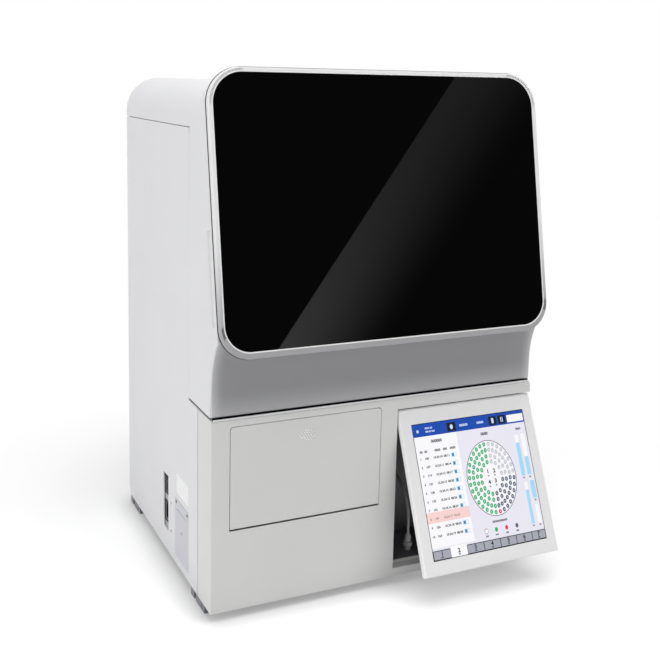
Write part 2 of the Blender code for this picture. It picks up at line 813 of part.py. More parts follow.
def make_side_panel(name, outer, inner):
    """A side panel up to the hood's seams; outer and inner are its two faces."""
    points = [
        (FRONT + FASCIA_WRAP + SEAM_GAP, BASE),
        (REAR - REAR_CHAMFER, BASE),
        (REAR, BASE + REAR_CHAMFER),
        (REAR, SEAM_Z),
        (SEAM_Y, SEAM_Z),
        (SEAM_Y, LOWER_Z),
        (FRONT + FASCIA_WRAP + SEAM_GAP, LOWER_Z),
    ]
    return outline(name, SIDE_VIEW, [points], (min(outer, inner), max(outer, inner)), WHITE_PLASTIC)


def side_recess(name, y_span, z_span, depth):
    """A box that sinks a recess of this depth into the left panel."""
    return block(
        name,
        (LEFT - CUT_OVERRUN, LEFT + depth),
        (FRONT + y_span[0], FRONT + y_span[1]),
        (BASE + z_span[0], BASE + z_span[1]),
    )


def make_left_side():
    """The left panel with its switch recess, label, service cover, power switch and inlet."""
    panel = make_side_panel("left_side_panel", LEFT, LEFT + PANEL)
    label_depth = PANEL / 4
    cover_depth = PANEL / 2
    switch_y = (SWITCH_FRONT, SWITCH_FRONT + SWITCH_WIDTH)
    label_y = (SERVICE_FRONT, SERVICE_FRONT + LABEL_WIDTH)
    cover_y = (SERVICE_FRONT, SERVICE_FRONT + SERVICE_WIDTH)
    cut(
        panel,
        side_recess("switch_hole", switch_y, (SWITCH_LOW, SWITCH_HIGH), PANEL + CUT_OVERRUN),
        side_recess("label_recess", label_y, (LABEL_LOW, LABEL_HIGH), label_depth),
        side_recess("cover_recess", cover_y, (SERVICE_LOW, SERVICE_HIGH), cover_depth),
    )
    block(
        "label_plate",
        (LEFT, LEFT + label_depth - FIT_GAP),
        (FRONT + SERVICE_FRONT + FIT_GAP, FRONT + SERVICE_FRONT + LABEL_WIDTH - FIT_GAP),
        (BASE + LABEL_LOW + FIT_GAP, BASE + LABEL_HIGH - FIT_GAP),
        WHITE_PLASTIC,
    )
    block(
        "service_cover",
        (LEFT, LEFT + cover_depth - FIT_GAP),
        (FRONT + SERVICE_FRONT + FIT_GAP, FRONT + SERVICE_FRONT + SERVICE_WIDTH - FIT_GAP),
        (BASE + SERVICE_LOW + FIT_GAP, BASE + SERVICE_HIGH - FIT_GAP),
        SHEET_STEEL,
    )
    make_power_entry()


def make_power_entry():
    """The recessed plate with the rocker switch above the inlet."""
    face = LEFT + PANEL + FIT_GAP
    back = face + SWITCH_PLATE
    middle = FRONT + SWITCH_FRONT + SWITCH_WIDTH / 2
    plate = block(
        "switch_plate",
        (face, back),
        (middle - SWITCH_WIDTH / 2 - PANEL, middle + SWITCH_WIDTH / 2 + PANEL),
        (BASE + SWITCH_LOW - PANEL, BASE + SWITCH_HIGH + PANEL),
        GREY_PLASTIC,
    )
    openings = []
    for centre in (ROCKER_Z, INLET_Z):
        z = BASE + centre
        openings.append(
            block(
                "power_opening",
                (face - CUT_OVERRUN, back + CUT_OVERRUN),
                (middle - POWER_WIDTH / 2 - FIT_GAP, middle + POWER_WIDTH / 2 + FIT_GAP),
                (z - POWER_HEIGHT / 2 - FIT_GAP, z + POWER_HEIGHT / 2 + FIT_GAP),
            )
        )
    cut(plate, *openings)
    rocker_z = BASE + ROCKER_Z
    half = POWER_HEIGHT / 2
    tip = half - ROCKER_CLEARANCE
    profile = [
        (face - ROCKER_PROUD, rocker_z + tip),
        (face, rocker_z),
        (face, rocker_z - tip),
        (face + ROCKER_DEPTH, rocker_z - tip / 2),
        (face + ROCKER_DEPTH, rocker_z + tip / 2),
    ]
    rocker = outline(
        "power_rocker",
        FRONT_VIEW,
        [profile],
        (-middle - POWER_WIDTH / 2, -middle + POWER_WIDTH / 2),
        DARK_PLASTIC,
    )
    set_origin(rocker, (face, middle, rocker_z))
    inlet_z = BASE + INLET_Z
    inlet = block(
        "power_inlet",
        (face, face + INLET_DEPTH),
        (middle - POWER_WIDTH / 2, middle + POWER_WIDTH / 2),
        (inlet_z - half, inlet_z + half),
        DARK_PLASTIC,
    )
    cavity = block(
        "inlet_cavity",
        (face - CUT_OVERRUN, face + INLET_DEPTH - INLET_WALL),
        (middle - POWER_WIDTH / 2 + INLET_WALL, middle + POWER_WIDTH / 2 - INLET_WALL),
        (inlet_z - half + INLET_WALL, inlet_z + half - INLET_WALL),
    )
    cut(inlet, cavity)
    for side in (-1, 0, 1):
        y = middle + side * INLET_BLADE_SPACING
        z = inlet_z + (INLET_BLADE_SPACING / 2 if side == 0 else -INLET_BLADE_SPACING / 2)
        blade = block(
            "inlet_blade",
            (face + 3 * INLET_WALL, face + INLET_DEPTH - INLET_WALL / 2),
            (y - INLET_BLADE / 2, y + INLET_BLADE / 2),
            (z - INLET_BLADE, z + INLET_BLADE),
        )
        join(inlet, blade)


def vent_slots(x, z, radius, count):
    """Cutters for a round field of level slots through the rear panel."""
    slots = []
    for index in range(count):
        offset = (index - (count - 1) / 2) * SLOT_PITCH
        half = math.sqrt(max(radius**2 - offset**2, SLOT_PITCH**2)) - SLOT_HEIGHT / 2
        slots.append(
            block(
                "vent_slot",
                (x - half, x + half),
                (REAR - PANEL - CUT_OVERRUN, REAR + CUT_OVERRUN),
                (z + offset - SLOT_HEIGHT / 2, z + offset + SLOT_HEIGHT / 2),
            )
        )
    return slots


def make_rear_panel():
    panel = block(
        "rear_panel",
        (LEFT + PANEL + FIT_GAP, RIGHT - PANEL - FIT_GAP),
        (REAR - PANEL, REAR),
        (BASE, SEAM_Z),
        WHITE_PLASTIC,
    )
    count = int(2 * FAN_BORE / SLOT_PITCH)
    supply_middle = LEFT + SUPPLY_SIDE + SUPPLY_WIDTH / 2
    cut(panel, *vent_slots(FAN_X, SEAM_Z - FAN_DROP, FAN_BORE, count))
    cut(panel, *vent_slots(supply_middle, BASE + SUPPLY_HEIGHT, FAN_BORE, count // 2))
    return panel


def foot_places():
    """Names and places of the four feet."""
    places = []
    for y_name, y in (("front", FRONT + FOOT_END_INSET), ("rear", REAR - FOOT_END_INSET)):
        for x_name, x in (("left", LEFT + FOOT_SIDE_INSET), ("right", RIGHT - FOOT_SIDE_INSET)):
            places.append((y_name + "_" + x_name, x, y))
    return places


def make_base():
    """The steel pan that carries everything, with a pad over each foot."""
    side = PANEL + FIT_GAP
    y_span = (FRONT + SCREEN_SEAT + PANEL + FIT_GAP, REAR - PANEL - FIT_GAP)
    pan = block("base_pan", (LEFT + side, RIGHT - side), y_span, (BASE, PAN_TOP), SHEET_STEEL)
    flange_inset = side + PLATE + PANEL
    flange = block(
        "pan_flange",
        (LEFT + flange_inset, RIGHT - flange_inset),
        (y_span[1] - PAN_THICKNESS, y_span[1]),
        (BASE, BASE + PAN_FLANGE),
    )
    join(pan, flange)
    for name, x, y in foot_places():
        pad = block(
            "foot_pad",
            (x - PAD_WIDTH / 2, x + PAD_WIDTH / 2),
            (y - PAD_LENGTH / 2, y + PAD_LENGTH / 2),
            (BASE - PAD_HEIGHT, BASE + PAN_THICKNESS / 2),
        )
        join(pan, pad)
        foot_top = BASE - PAD_HEIGHT - FIT_GAP
        profile = [
            (0, foot_top),
            (FOOT_STEM_RADIUS, foot_top),
            (FOOT_STEM_RADIUS, FOOT_RIM + FOOT_STEM_RADIUS / 3),
            (FOOT_RADIUS - FOOT_STEM_RADIUS / 3, FOOT_RIM),
            (FOOT_RADIUS, FOOT_RIM / 2),
            (FOOT_RADIUS - FOOT_STEM_RADIUS / 6, 0),
            (0, 0),
        ]
        turned("foot_" + name, profile, (x, y, 0), sides=20, look=RUBBER)
    return pan


def make_fascia():
    """The front of the lower module, from cheek to cheek, with its door and screen openings."""
    r = FASCIA_EDGE_RADIUS
    profile = [(FRONT, BASE)]
    profile += arc((FRONT + r, LOWER_Z - r), r, 180, 90, 5)
    profile += [(FRONT + FASCIA_WRAP, LOWER_Z), (FRONT + FASCIA_WRAP, BASE)]
    fascia = outline("front_fascia", SIDE_VIEW, [profile], (LEFT, RIGHT), WHITE_PLASTIC)
    pocket_x = LEFT + POCKET_LEFT
    behind = FRONT + FASCIA_WRAP + CUT_OVERRUN
    inside_z = (BASE - CUT_OVERRUN, LOWER_Z - PANEL)
    screen_z = (BASE + SILL_HEIGHT, LOWER_Z - STRIP_HEIGHT)
    seat = FRONT + SCREEN_SEAT
    cut(
        fascia,
        block("left_hollow", (LEFT + PANEL, pocket_x - PANEL), (FRONT + PANEL, behind), inside_z),
        block("right_hollow", (pocket_x - 2 * PANEL, RIGHT - PANEL), (seat + PANEL, behind), inside_z),
        block("screen_recess", (pocket_x, RIGHT + CUT_OVERRUN), (FRONT - CUT_OVERRUN, seat), screen_z),
        block(
            "pocket_opening",
            (pocket_x + POCKET_MARGIN, RIGHT - PANEL - POCKET_MARGIN),
            (seat - CUT_OVERRUN, seat + PANEL + CUT_OVERRUN),
            (screen_z[0] + POCKET_MARGIN, screen_z[1] - POCKET_MARGIN),
        ),
    )
    door = rounded_rectangle(
        (FLAP_SPAN[0] - FLAP_GAP, FLAP_SPAN[1] + FLAP_GAP),
        (BASE + FLAP_LOW - FLAP_GAP, BASE + FLAP_HIGH + FLAP_GAP),
        FLAP_CORNER,
        0,
        4,
    )
    depth = (-FRONT - PANEL - CUT_OVERRUN, -FRONT + CUT_OVERRUN)
    cut(fascia, outline("door_opening", FRONT_VIEW, [door], depth))
    for edge, outward in ((FLAP_SPAN[0] - FLAP_GAP, -1), (FLAP_SPAN[1] + FLAP_GAP, 1)):
        far = edge + outward * FLAP_BOSS
        boss = block(
            "flap_boss",
            (min(edge, far), max(edge, far)),
            (FRONT + PANEL / 2, FRONT + FLAP_THICKNESS),
            (BASE + FLAP_LOW - PANEL, FLAP_AXIS.z + FLAP_THICKNESS),
        )
        join(fascia, boss)
    cut(fascia, pin_bore())
    return fascia


def pin_bore():
    """The bore that the flap's pin turns in."""
    reach = FLAP_BOSS - PIN_END_WALL
    start = (FLAP_SPAN[0] - FLAP_GAP - reach, FLAP_AXIS.y, FLAP_AXIS.z)
    end = (FLAP_SPAN[1] + FLAP_GAP + reach, FLAP_AXIS.y, FLAP_AXIS.z)
    return rod("pin_bore", FLAP_PIN_RADIUS + FIT_GAP, start, end, sides=10)


def make_flap():
    """The drop-down door, round along its lower edge, where its pin runs."""
    half = FLAP_THICKNESS / 2
    profile = arc((FLAP_AXIS.y, FLAP_AXIS.z), half, 180, 360, 6)
    profile += [(FRONT + FLAP_THICKNESS, BASE + FLAP_HIGH), (FRONT, BASE + FLAP_HIGH)]
    flap = outline("flap_door", SIDE_VIEW, [profile], FLAP_SPAN, GREY_PLASTIC)
    corners = rounded_rectangle(FLAP_SPAN, (BASE, BASE + FLAP_HIGH), FLAP_CORNER, 0, 4)
    depth = (-FRONT - FLAP_THICKNESS - CUT_OVERRUN, -FRONT + CUT_OVERRUN)
    combine(flap, outline("flap_corners", FRONT_VIEW, [corners], depth), "INTERSECT")
    middle = sum(FLAP_SPAN) / 2
    striker_z = BASE + FLAP_HIGH - STRIKER_DROP
    striker = block(
        "striker",
        (middle - STRIKER_WIDTH / 2, middle + STRIKER_WIDTH / 2),
        (FRONT + half, FRONT + FLAP_THICKNESS + STRIKER_LENGTH),
        (striker_z - STRIKER_HEIGHT / 2, striker_z + STRIKER_HEIGHT / 2),
    )
    join(flap, striker)
    overrun = FLAP_BOSS
    cut(
        flap,
        rod(
            "flap_bore",
            FLAP_PIN_RADIUS + FIT_GAP,
            (FLAP_SPAN[0] - overrun, FLAP_AXIS.y, FLAP_AXIS.z),
            (FLAP_SPAN[1] + overrun, FLAP_AXIS.y, FLAP_AXIS.z),
            sides=10,
        ),
    )
    set_origin(flap, (middle, FLAP_AXIS.y, FLAP_AXIS.z))
    pin_reach = FLAP_GAP + FLAP_BOSS - PIN_END_WALL - FIT_GAP
    rod(
        "flap_pin",
        FLAP_PIN_RADIUS,
        (FLAP_SPAN[0] - pin_reach, FLAP_AXIS.y, FLAP_AXIS.z),
        (FLAP_SPAN[1] + pin_reach, FLAP_AXIS.y, FLAP_AXIS.z),
        sides=10,
        look=BRIGHT_STEEL,
    )
    return flap


def tray(name, x_span, y_span, z_span, wall, open_side, look):
    """A box with one open side, which is front or top."""
    made = block(name, x_span, y_span, z_span, look)
    over = CUT_OVERRUN
    front = y_span[0] - over if open_side == "front" else y_span[0] + wall
    top = z_span[1] + over if open_side == "top" else z_span[1] - wall
    hollow = block(
        name + "_hollow",
        (x_span[0] + wall, x_span[1] - wall),
        (front, y_span[1] - wall),
        (z_span[0] + wall, top),
    )
    return cut(made, hollow)


def make_compartment():
    """The liner behind the flap, its latch, and the waste bin that stands in it."""
    x_span = (FLAP_SPAN[0] - FLAP_GAP - FLAP_BOSS, FLAP_SPAN[1] + FLAP_GAP + FLAP_BOSS)
    front = FRONT + FLAP_THICKNESS + FIT_GAP
    floor = FLAP_AXIS.z + FLAP_THICKNESS / 2 - LINER_WALL / 2
    roof = BASE + FLAP_HIGH + PANEL
    tray(
        "compartment_liner",
        x_span,
        (front, FRONT + LINER_DEPTH),
        (floor, roof),
        LINER_WALL,
        "front",
        DARK_PLASTIC,
    )
    middle = sum(FLAP_SPAN) / 2
    striker_z = BASE + FLAP_HIGH - STRIKER_DROP
    latch = block(
        "flap_latch",
        (middle - STRIKER_WIDTH, middle + STRIKER_WIDTH),
        (front + LATCH_GAP, front + 2 * STRIKER_LENGTH),
        (striker_z - STRIKER_HEIGHT, roof - LINER_WALL - FIT_GAP),
        GREY_PLASTIC,
    )
    notch = block(
        "latch_notch",
        (middle - STRIKER_WIDTH / 2 - LATCH_GAP, middle + STRIKER_WIDTH / 2 + LATCH_GAP),
        (front - CUT_OVERRUN, front + STRIKER_LENGTH + LATCH_GAP),
        (striker_z - STRIKER_HEIGHT - CUT_OVERRUN, striker_z + STRIKER_HEIGHT / 2 + LATCH_GAP),
    )
    cut(latch, notch)
    bin_floor = floor + LINER_WALL + FIT_GAP
    bin_x = (x_span[0] + BIN_CLEARANCE, x_span[1] - BIN_CLEARANCE)
    bin_y = (front + BIN_CLEARANCE, FRONT + LINER_DEPTH - LINER_WALL - BIN_CLEARANCE)
    bin_z = (bin_floor, bin_floor + BIN_HEIGHT)
    waste_bin = tray("waste_bin", bin_x, bin_y, bin_z, BIN_WALL, "top", GREY_PLASTIC)
    lip = block(
        "bin_lip",
        (middle - STRIKER_WIDTH * 2, middle + STRIKER_WIDTH * 2),
        (bin_y[0] - BIN_CLEARANCE / 2, bin_y[0] + BIN_WALL),
        (bin_floor + BIN_HEIGHT - 2 * BIN_WALL, bin_floor + BIN_HEIGHT),
    )
    join(waste_bin, lip)


def make_pocket():
    """The dark pocket behind the screen, its screen catch and the wash fluid's fitting."""
    front = FRONT + SCREEN_SEAT + PANEL + FIT_GAP
    x_span = (LEFT + POCKET_LEFT + PANEL / 2, INNER_RIGHT)
    floor = BASE + SILL_HEIGHT + POCKET_MARGIN / 2
    roof = LOWER_Z - STRIP_HEIGHT - 2 * POCKET_MARGIN - FIT_GAP
    y_span = (front, FRONT + POCKET_DEPTH)
    liner = tray("pocket_liner", x_span, y_span, (floor, roof), LINER_WALL, "front", DARK_PLASTIC)
    notch = block(
        "hinge_notch",
        (SCREEN_HINGES[0] - SCREEN_EAR - PANEL, SCREEN_HINGES[1] + SCREEN_EAR + PANEL),
        (front - CUT_OVERRUN, front + SCREEN_BAR_THICKNESS + PANEL / 2),
        (roof - LINER_WALL - FIT_GAP, roof + CUT_OVERRUN),
    )
    cut(liner, notch)
    wall = x_span[0] + LINER_WALL + FIT_GAP
    block(
        "screen_catch",
        (wall, wall + CATCH_WIDTH),
        (front + SCREEN_COVER_THICKNESS, front + SCREEN_COVER_THICKNESS + CATCH_DEPTH),
        (BASE + CATCH_LOW, BASE + CATCH_LOW + CATCH_HEIGHT),
        GREY_PLASTIC,
    )
    make_wash_fitting(floor + LINER_WALL + FIT_GAP)


def make_wash_fitting(floor):
    """A white quick connector on the pocket's floor, with the stub of its tube bent to the back."""
    x = LEFT + POCKET_LEFT + FITTING_LEFT
    y = FRONT + FITTING_Y
    collar = FITTING_RADIUS * 0.7
    profile = [
        (0, FITTING_HEIGHT),
        (collar / 2, FITTING_HEIGHT),
        (collar, FITTING_HEIGHT - collar),
        (collar, FITTING_HEIGHT / 2),
        (FITTING_RADIUS, FITTING_HEIGHT / 2),
        (FITTING_RADIUS, FITTING_HEIGHT / 4),
        (collar, FITTING_HEIGHT / 4),
        (collar, 0),
        (0, 0),
    ]
    fitting = turned("wash_fitting", profile, (x, y, floor), sides=16, look=WHITE_PLASTIC)
    bend = FRONT + POCKET_DEPTH - LINER_WALL - FIT_GAP - y
    side = [(y, floor + FITTING_HEIGHT / 2)]
    side += [(y, floor + FITTING_HEIGHT + HOSE_RISE)]
    side += arc((y + bend, floor + FITTING_HEIGHT + HOSE_RISE), bend, 180, 90, 6)[1:]
    curve = bpy.data.curves.new("hose", "CURVE")
    curve.dimensions = "3D"
    curve.bevel_depth = HOSE_RADIUS
    curve.bevel_resolution = 2
    curve.use_fill_caps = True
    spline = curve.splines.new("POLY")
    spline.points.add(len(side) - 1)
    for point, (along, height) in zip(spline.points, side):
        point.co = (x, along, height, 1)
    drawn = bpy.data.objects.new("hose", curve)
    PARTS.objects.link(drawn)
    bpy.context.view_layer.update()
    mesh = bpy.data.meshes.new_from_object(drawn.evaluated_get(bpy.context.evaluated_depsgraph_get()))
    bpy.data.objects.remove(drawn)
    shape = bmesh.new()
    shape.from_mesh(mesh)
    bmesh.ops.remove_doubles(shape, verts=shape.verts, dist=1e-6)
    bmesh.ops.recalc_face_normals(shape, faces=shape.faces)
    shape.to_mesh(mesh)
    shape.free()
    return join(fitting, piece("hose", mesh))


def make_screen():
    """The tilting touch screen, built shut and then tilted out with its axis."""
    x_span = (LEFT + SCREEN_LEFT, RIGHT)
    z_span = (SCREEN_LOW, SCREEN_TOP)
    back = FRONT + BEZEL_THICKNESS
    bezel = block("screen_bezel", x_span, (FRONT, back), z_span, WHITE_PLASTIC)
    round_edges(bezel, BEZEL_EDGE, segments=3)
    display_x = (x_span[0] + DISPLAY_LEFT, x_span[0] + DISPLAY_LEFT + DISPLAY_WIDTH)
    display_z = (SCREEN_TOP - DISPLAY_TOP - DISPLAY_HEIGHT, SCREEN_TOP - DISPLAY_TOP)
    display_back = FRONT + DISPLAY_RECESS + DISPLAY_THICKNESS
    opening = block(
        "display_opening",
        (display_x[0] - FIT_GAP, display_x[1] + FIT_GAP),
        (FRONT - CUT_OVERRUN, back + CUT_OVERRUN),
        (display_z[0] - FIT_GAP, display_z[1] + FIT_GAP),
    )
    cut(bezel, opening)
    display_y = (FRONT + DISPLAY_RECESS, display_back)
    display = block("display_panel", display_x, display_y, display_z, DISPLAY_GLASS)
    cover_x = (x_span[0] + COVER_SIDE, x_span[1] - COVER_SIDE)
    cover_front = back + FIT_GAP
    cover_y = (cover_front, cover_front + SCREEN_COVER_THICKNESS)
    cover_z = (SCREEN_LOW + COVER_SIDE, SCREEN_TOP - COVER_TOP)
    cover = tray("screen_back_cover", cover_x, cover_y, cover_z, SCREEN_COVER_WALL, "front", DARK_PLASTIC)
    bracket = make_screen_bracket()
    ear_y = (cover_front, SCREEN_AXIS.y + SCREEN_KNUCKLE_RADIUS)
    ear_z = (cover_z[1] - SCREEN_COVER_WALL, SCREEN_AXIS.z)
    for x in SCREEN_HINGES:
        ear_x = (x + FIT_GAP, x + SCREEN_EAR)
        ear = block("ear", ear_x, ear_y, ear_z)
        knuckle = rod(
            "ear_knuckle",
            SCREEN_KNUCKLE_RADIUS,
            (ear_x[0], SCREEN_AXIS.y, SCREEN_AXIS.z),
            (ear_x[1], SCREEN_AXIS.y, SCREEN_AXIS.z),
            sides=14,
        )
        join(cover, ear, knuckle)
    cut(cover, screen_pin("cover_bore", SCREEN_PIN_RADIUS + FIT_GAP, CUT_OVERRUN))
    cut(bracket, screen_pin("bracket_bore", SCREEN_PIN_RADIUS + FIT_GAP, CUT_OVERRUN))
    pin = screen_pin("screen_hinge_pin", SCREEN_PIN_RADIUS, 0)
    pin.data.materials.append(material_of(BRIGHT_STEEL))
    axis = axis_empty("screen_hinge_axis", SCREEN_AXIS)
    hang_on(axis, bezel, display, cover)
    axis.rotation_euler.x = -SCREEN_TILT
    return axis


def screen_pin(name, radius, overrun):
    """A rod along the screen's axis, through both hinges."""
    start = (SCREEN_HINGES[0] - SCREEN_EAR - overrun, SCREEN_AXIS.y, SCREEN_AXIS.z)
    end = (SCREEN_HINGES[1] + SCREEN_EAR + overrun, SCREEN_AXIS.y, SCREEN_AXIS.z)
    return rod(name, radius, start, end, sides=12)


def make_screen_bracket():
    """The fixed bar behind the strip, with an arm down to the axis at each hinge."""
    front = FRONT + SCREEN_SEAT + PANEL + FIT_GAP
    back = front + SCREEN_BAR_THICKNESS
    opening_top = LOWER_Z - STRIP_HEIGHT - POCKET_MARGIN
    bar = block(
        "screen_hinge_bracket",
        (SCREEN_HINGES[0] - SCREEN_EAR, SCREEN_HINGES[1] + SCREEN_EAR),
        (front, back),
        (opening_top - PANEL, LOWER_Z - PANEL - FIT_GAP),
        SHEET_STEEL,
    )
    for x in SCREEN_HINGES:
        arm_x = (x - SCREEN_EAR, x - FIT_GAP)
        arm_y = (SCREEN_AXIS.y + 3 * FIT_GAP, back)
        arm = block("arm", arm_x, arm_y, (SCREEN_AXIS.z, opening_top - FIT_GAP))
        knuckle = rod(
            "arm_knuckle",
            SCREEN_KNUCKLE_RADIUS,
            (arm_x[0], SCREEN_AXIS.y, SCREEN_AXIS.z),
            (arm_x[1], SCREEN_AXIS.y, SCREEN_AXIS.z),
            sides=14,
        )
        join(bar, arm, knuckle)
    return bar


def make_frame_plate(name, outer):
    """A steel side plate that carries the deck and the rail, cut back around the hood's cheek."""
    inner = outer - math.copysign(PLATE, outer)
    front = FRONT + FASCIA_WRAP + FIT_GAP
    back = REAR - PANEL - PLATE
    step = SEAM_Y + PANEL
    shelf = LOWER_Z - FIT_GAP
    points = [
        (front, PAN_TOP + FIT_GAP),
        (back, PAN_TOP + FIT_GAP),
        (back, SEAM_Z - PLATE_TOP_DROP),
        (step, SEAM_Z - PLATE_TOP_DROP),
        (step, shelf),
        (front, shelf),
    ]
    window = rounded_rectangle(
        (front + PLATE_WINDOW_MARGIN, back - PLATE_WINDOW_MARGIN),
        (BASE + PLATE_WINDOW_MARGIN, BASE + PLATE_WINDOW_MARGIN + PLATE_WINDOW_HEIGHT),
        PLATE_WINDOW_MARGIN / 2,
        PLATE_WINDOW_MARGIN / 2,
        4,
    )
    span = (min(outer, inner), max(outer, inner))
    return outline(name, SIDE_VIEW, [points, window], span, SHEET_STEEL)


def make_deck():
    """The worktop under the hood, with a hole for the carousel's shaft, and the bulkhead behind it."""
    deck = block(
        "deck_plate",
        (INNER_LEFT, INNER_RIGHT),
        (FRONT + FLANGE_REST, REAR - PANEL - PLATE),
        (LOWER_Z + FIT_GAP, DECK_Z),
        ALUMINIUM,
    )
    x, y = CAROUSEL_X, CAROUSEL_Y
    shaft_hole = rod("shaft_hole", 2 * SHAFT_RADIUS, (x, y, LOWER_Z - PLATE), (x, y, DECK_Z + PLATE))
    cut(deck, shaft_hole)
    block(
        "rear_bulkhead",
        (INNER_LEFT, INNER_RIGHT),
        (BULKHEAD_Y, BULKHEAD_Y + PLATE),
        (DECK_Z + FIT_GAP, SEAM_Z - 2 * PLATE_TOP_DROP),
        ALUMINIUM,
    )


def make_carousel():
    """The turntable with its four racks of tubes, and the motor under the deck."""
    x, y = CAROUSEL_X, CAROUSEL_Y
    floor = DECK_Z + CAROUSEL_LIFT
    bore = SHAFT_RADIUS + SHAFT_CLEARANCE
    hub_top = CAROUSEL_PLATE + CAROUSEL_HUB_HEIGHT
    bore_depth = hub_top / 2
    profile = [
        (0, hub_top),
        (CAROUSEL_HUB_RADIUS, hub_top),
        (CAROUSEL_HUB_RADIUS, CAROUSEL_PLATE),
        (CAROUSEL_RADIUS, CAROUSEL_PLATE),
        (CAROUSEL_RADIUS, 0),
        (bore, 0),
        (bore, bore_depth),
        (0, bore_depth),
    ]
    turntable = turned("carousel_turntable", profile, (x, y, floor), sides=56, look=GREY_PLASTIC)
    low = floor + CAROUSEL_PLATE + FIT_GAP
    racks = [make_rack(name, index, low) for index, name in enumerate(RACK_NAMES)]
    axis = axis_empty("carousel_axis", (x, y, floor))
    hang_on(axis, turntable, *racks)
    half = MOTOR_SIZE / 2
    motor_top = LOWER_Z - FIT_GAP
    motor = block(
        "carousel_motor",
        (x - half, x + half),
        (y - half, y + half),
        (motor_top - MOTOR_HEIGHT, motor_top),
        DARK_PLASTIC,
    )
    shaft_top = floor + bore_depth - FIT_GAP
    join(motor, rod("shaft", SHAFT_RADIUS, (x, y, motor_top - SHAFT_RADIUS), (x, y, shaft_top)))


def make_rack(name, index, low):
    """A quarter rack of sample tubes."""
    inset = math.degrees(RACK_SPACING / 2 / RACK_OUTER)
    start = index * 90 + inset
    end = start + 90 - 2 * inset
    centre = (CAROUSEL_X, CAROUSEL_Y)
    loop = arc(centre, RACK_OUTER, start, end, 14)
    loop += arc(centre, RACK_INNER, end, start, 8)
    rack = outline("rack_" + name, PLAN_VIEW, [loop], (low, low + RACK_HEIGHT), RACK_BLUE)
    top = low + RACK_HEIGHT
    shape = bmesh.new()
    for share, count in zip(TUBE_ROW_SHARES, TUBE_ROW_COUNTS):
        radius = RACK_INNER + share * (RACK_OUTER - RACK_INNER)
        for place in range(count):
            angle = math.radians(start + (place + 0.5) * (end - start) / count)
            x = centre[0] + radius * math.cos(angle)
            y = centre[1] + radius * math.sin(angle)
            z = top + (TUBE_RISE - TUBE_SINK) / 2
            bmesh.ops.create_cone(
                shape,
                cap_ends=True,
                segments=8,
                radius1=TUBE_RADIUS,
                radius2=TUBE_RADIUS,
                depth=TUBE_RISE + TUBE_SINK,
                matrix=Matrix.Translation((x, y, z)),
            )
    mesh = bpy.data.meshes.new("tubes")
    shape.to_mesh(mesh)
    shape.free()
    return join(rack, piece("tubes", mesh))


def make_incubator():
    """The incubator with its turning ring, the reader behind it and the wash well."""
    centre = (INCUBATOR_X, INCUBATOR_Y, DECK_Z + FIT_GAP)
    inside = INCUBATOR_RADIUS - INCUBATOR_WALL
    cup = [
        (0, INCUBATOR_FLOOR),
        (inside, INCUBATOR_FLOOR),
        (inside, INCUBATOR_HEIGHT),
        (INCUBATOR_RADIUS, INCUBATOR_HEIGHT),
        (INCUBATOR_RADIUS, 0),
        (0, 0),
    ]
    turned("incubator_housing", cup, centre, sides=40, look=ALUMINIUM)
    low = INCUBATOR_FLOOR + FIT_GAP
    high = INCUBATOR_HEIGHT + RING_RISE
    channel = high - RING_CHANNEL_DEPTH
    ring = [
        (0, high),
        (RING_CHANNEL_IN, high),
        (RING_CHANNEL_IN, channel),
        (RING_CHANNEL_OUT, channel),
        (RING_CHANNEL_OUT, high),
        (inside - 2 * FIT_GAP, high),
        (inside - 2 * FIT_GAP, low),
        (0, low),
    ]
    turned("incubator_ring", ring, centre, sides=40, look=DARK_PLASTIC)
    y = READER_CENTRE
    reader = block(
        "reader_module",
        (INCUBATOR_X - READER_WIDTH / 2, INCUBATOR_X + READER_WIDTH / 2),
        (y - READER_DEPTH / 2, y + READER_DEPTH / 2),
        (DECK_Z + FIT_GAP, DECK_Z + READER_HEIGHT),
        DARK_PLASTIC,
    )
    tube_low = (INCUBATOR_X, y, DECK_Z + READER_HEIGHT / 2)
    tube_high = (INCUBATOR_X, y, DECK_Z + READER_HEIGHT + READER_TUBE_HEIGHT)
    join(reader, rod("reader_tube", READER_TUBE_RADIUS, tube_low, tube_high, sides=24))
    well = [
        (0, WELL_FLOOR),
        (WELL_BORE, WELL_FLOOR),
        (WELL_BORE, WELL_HEIGHT),
        (WELL_RADIUS, WELL_HEIGHT),
        (WELL_RADIUS, WELL_FLOOR),
        (WELL_FOOT, WELL_FLOOR),
        (WELL_FOOT, 0),
        (0, 0),
    ]
    place = (PARK_X, FRONT + PARK_Y, DECK_Z + FIT_GAP)
    turned("wash_well", well, place, sides=20, look=GREY_PLASTIC)


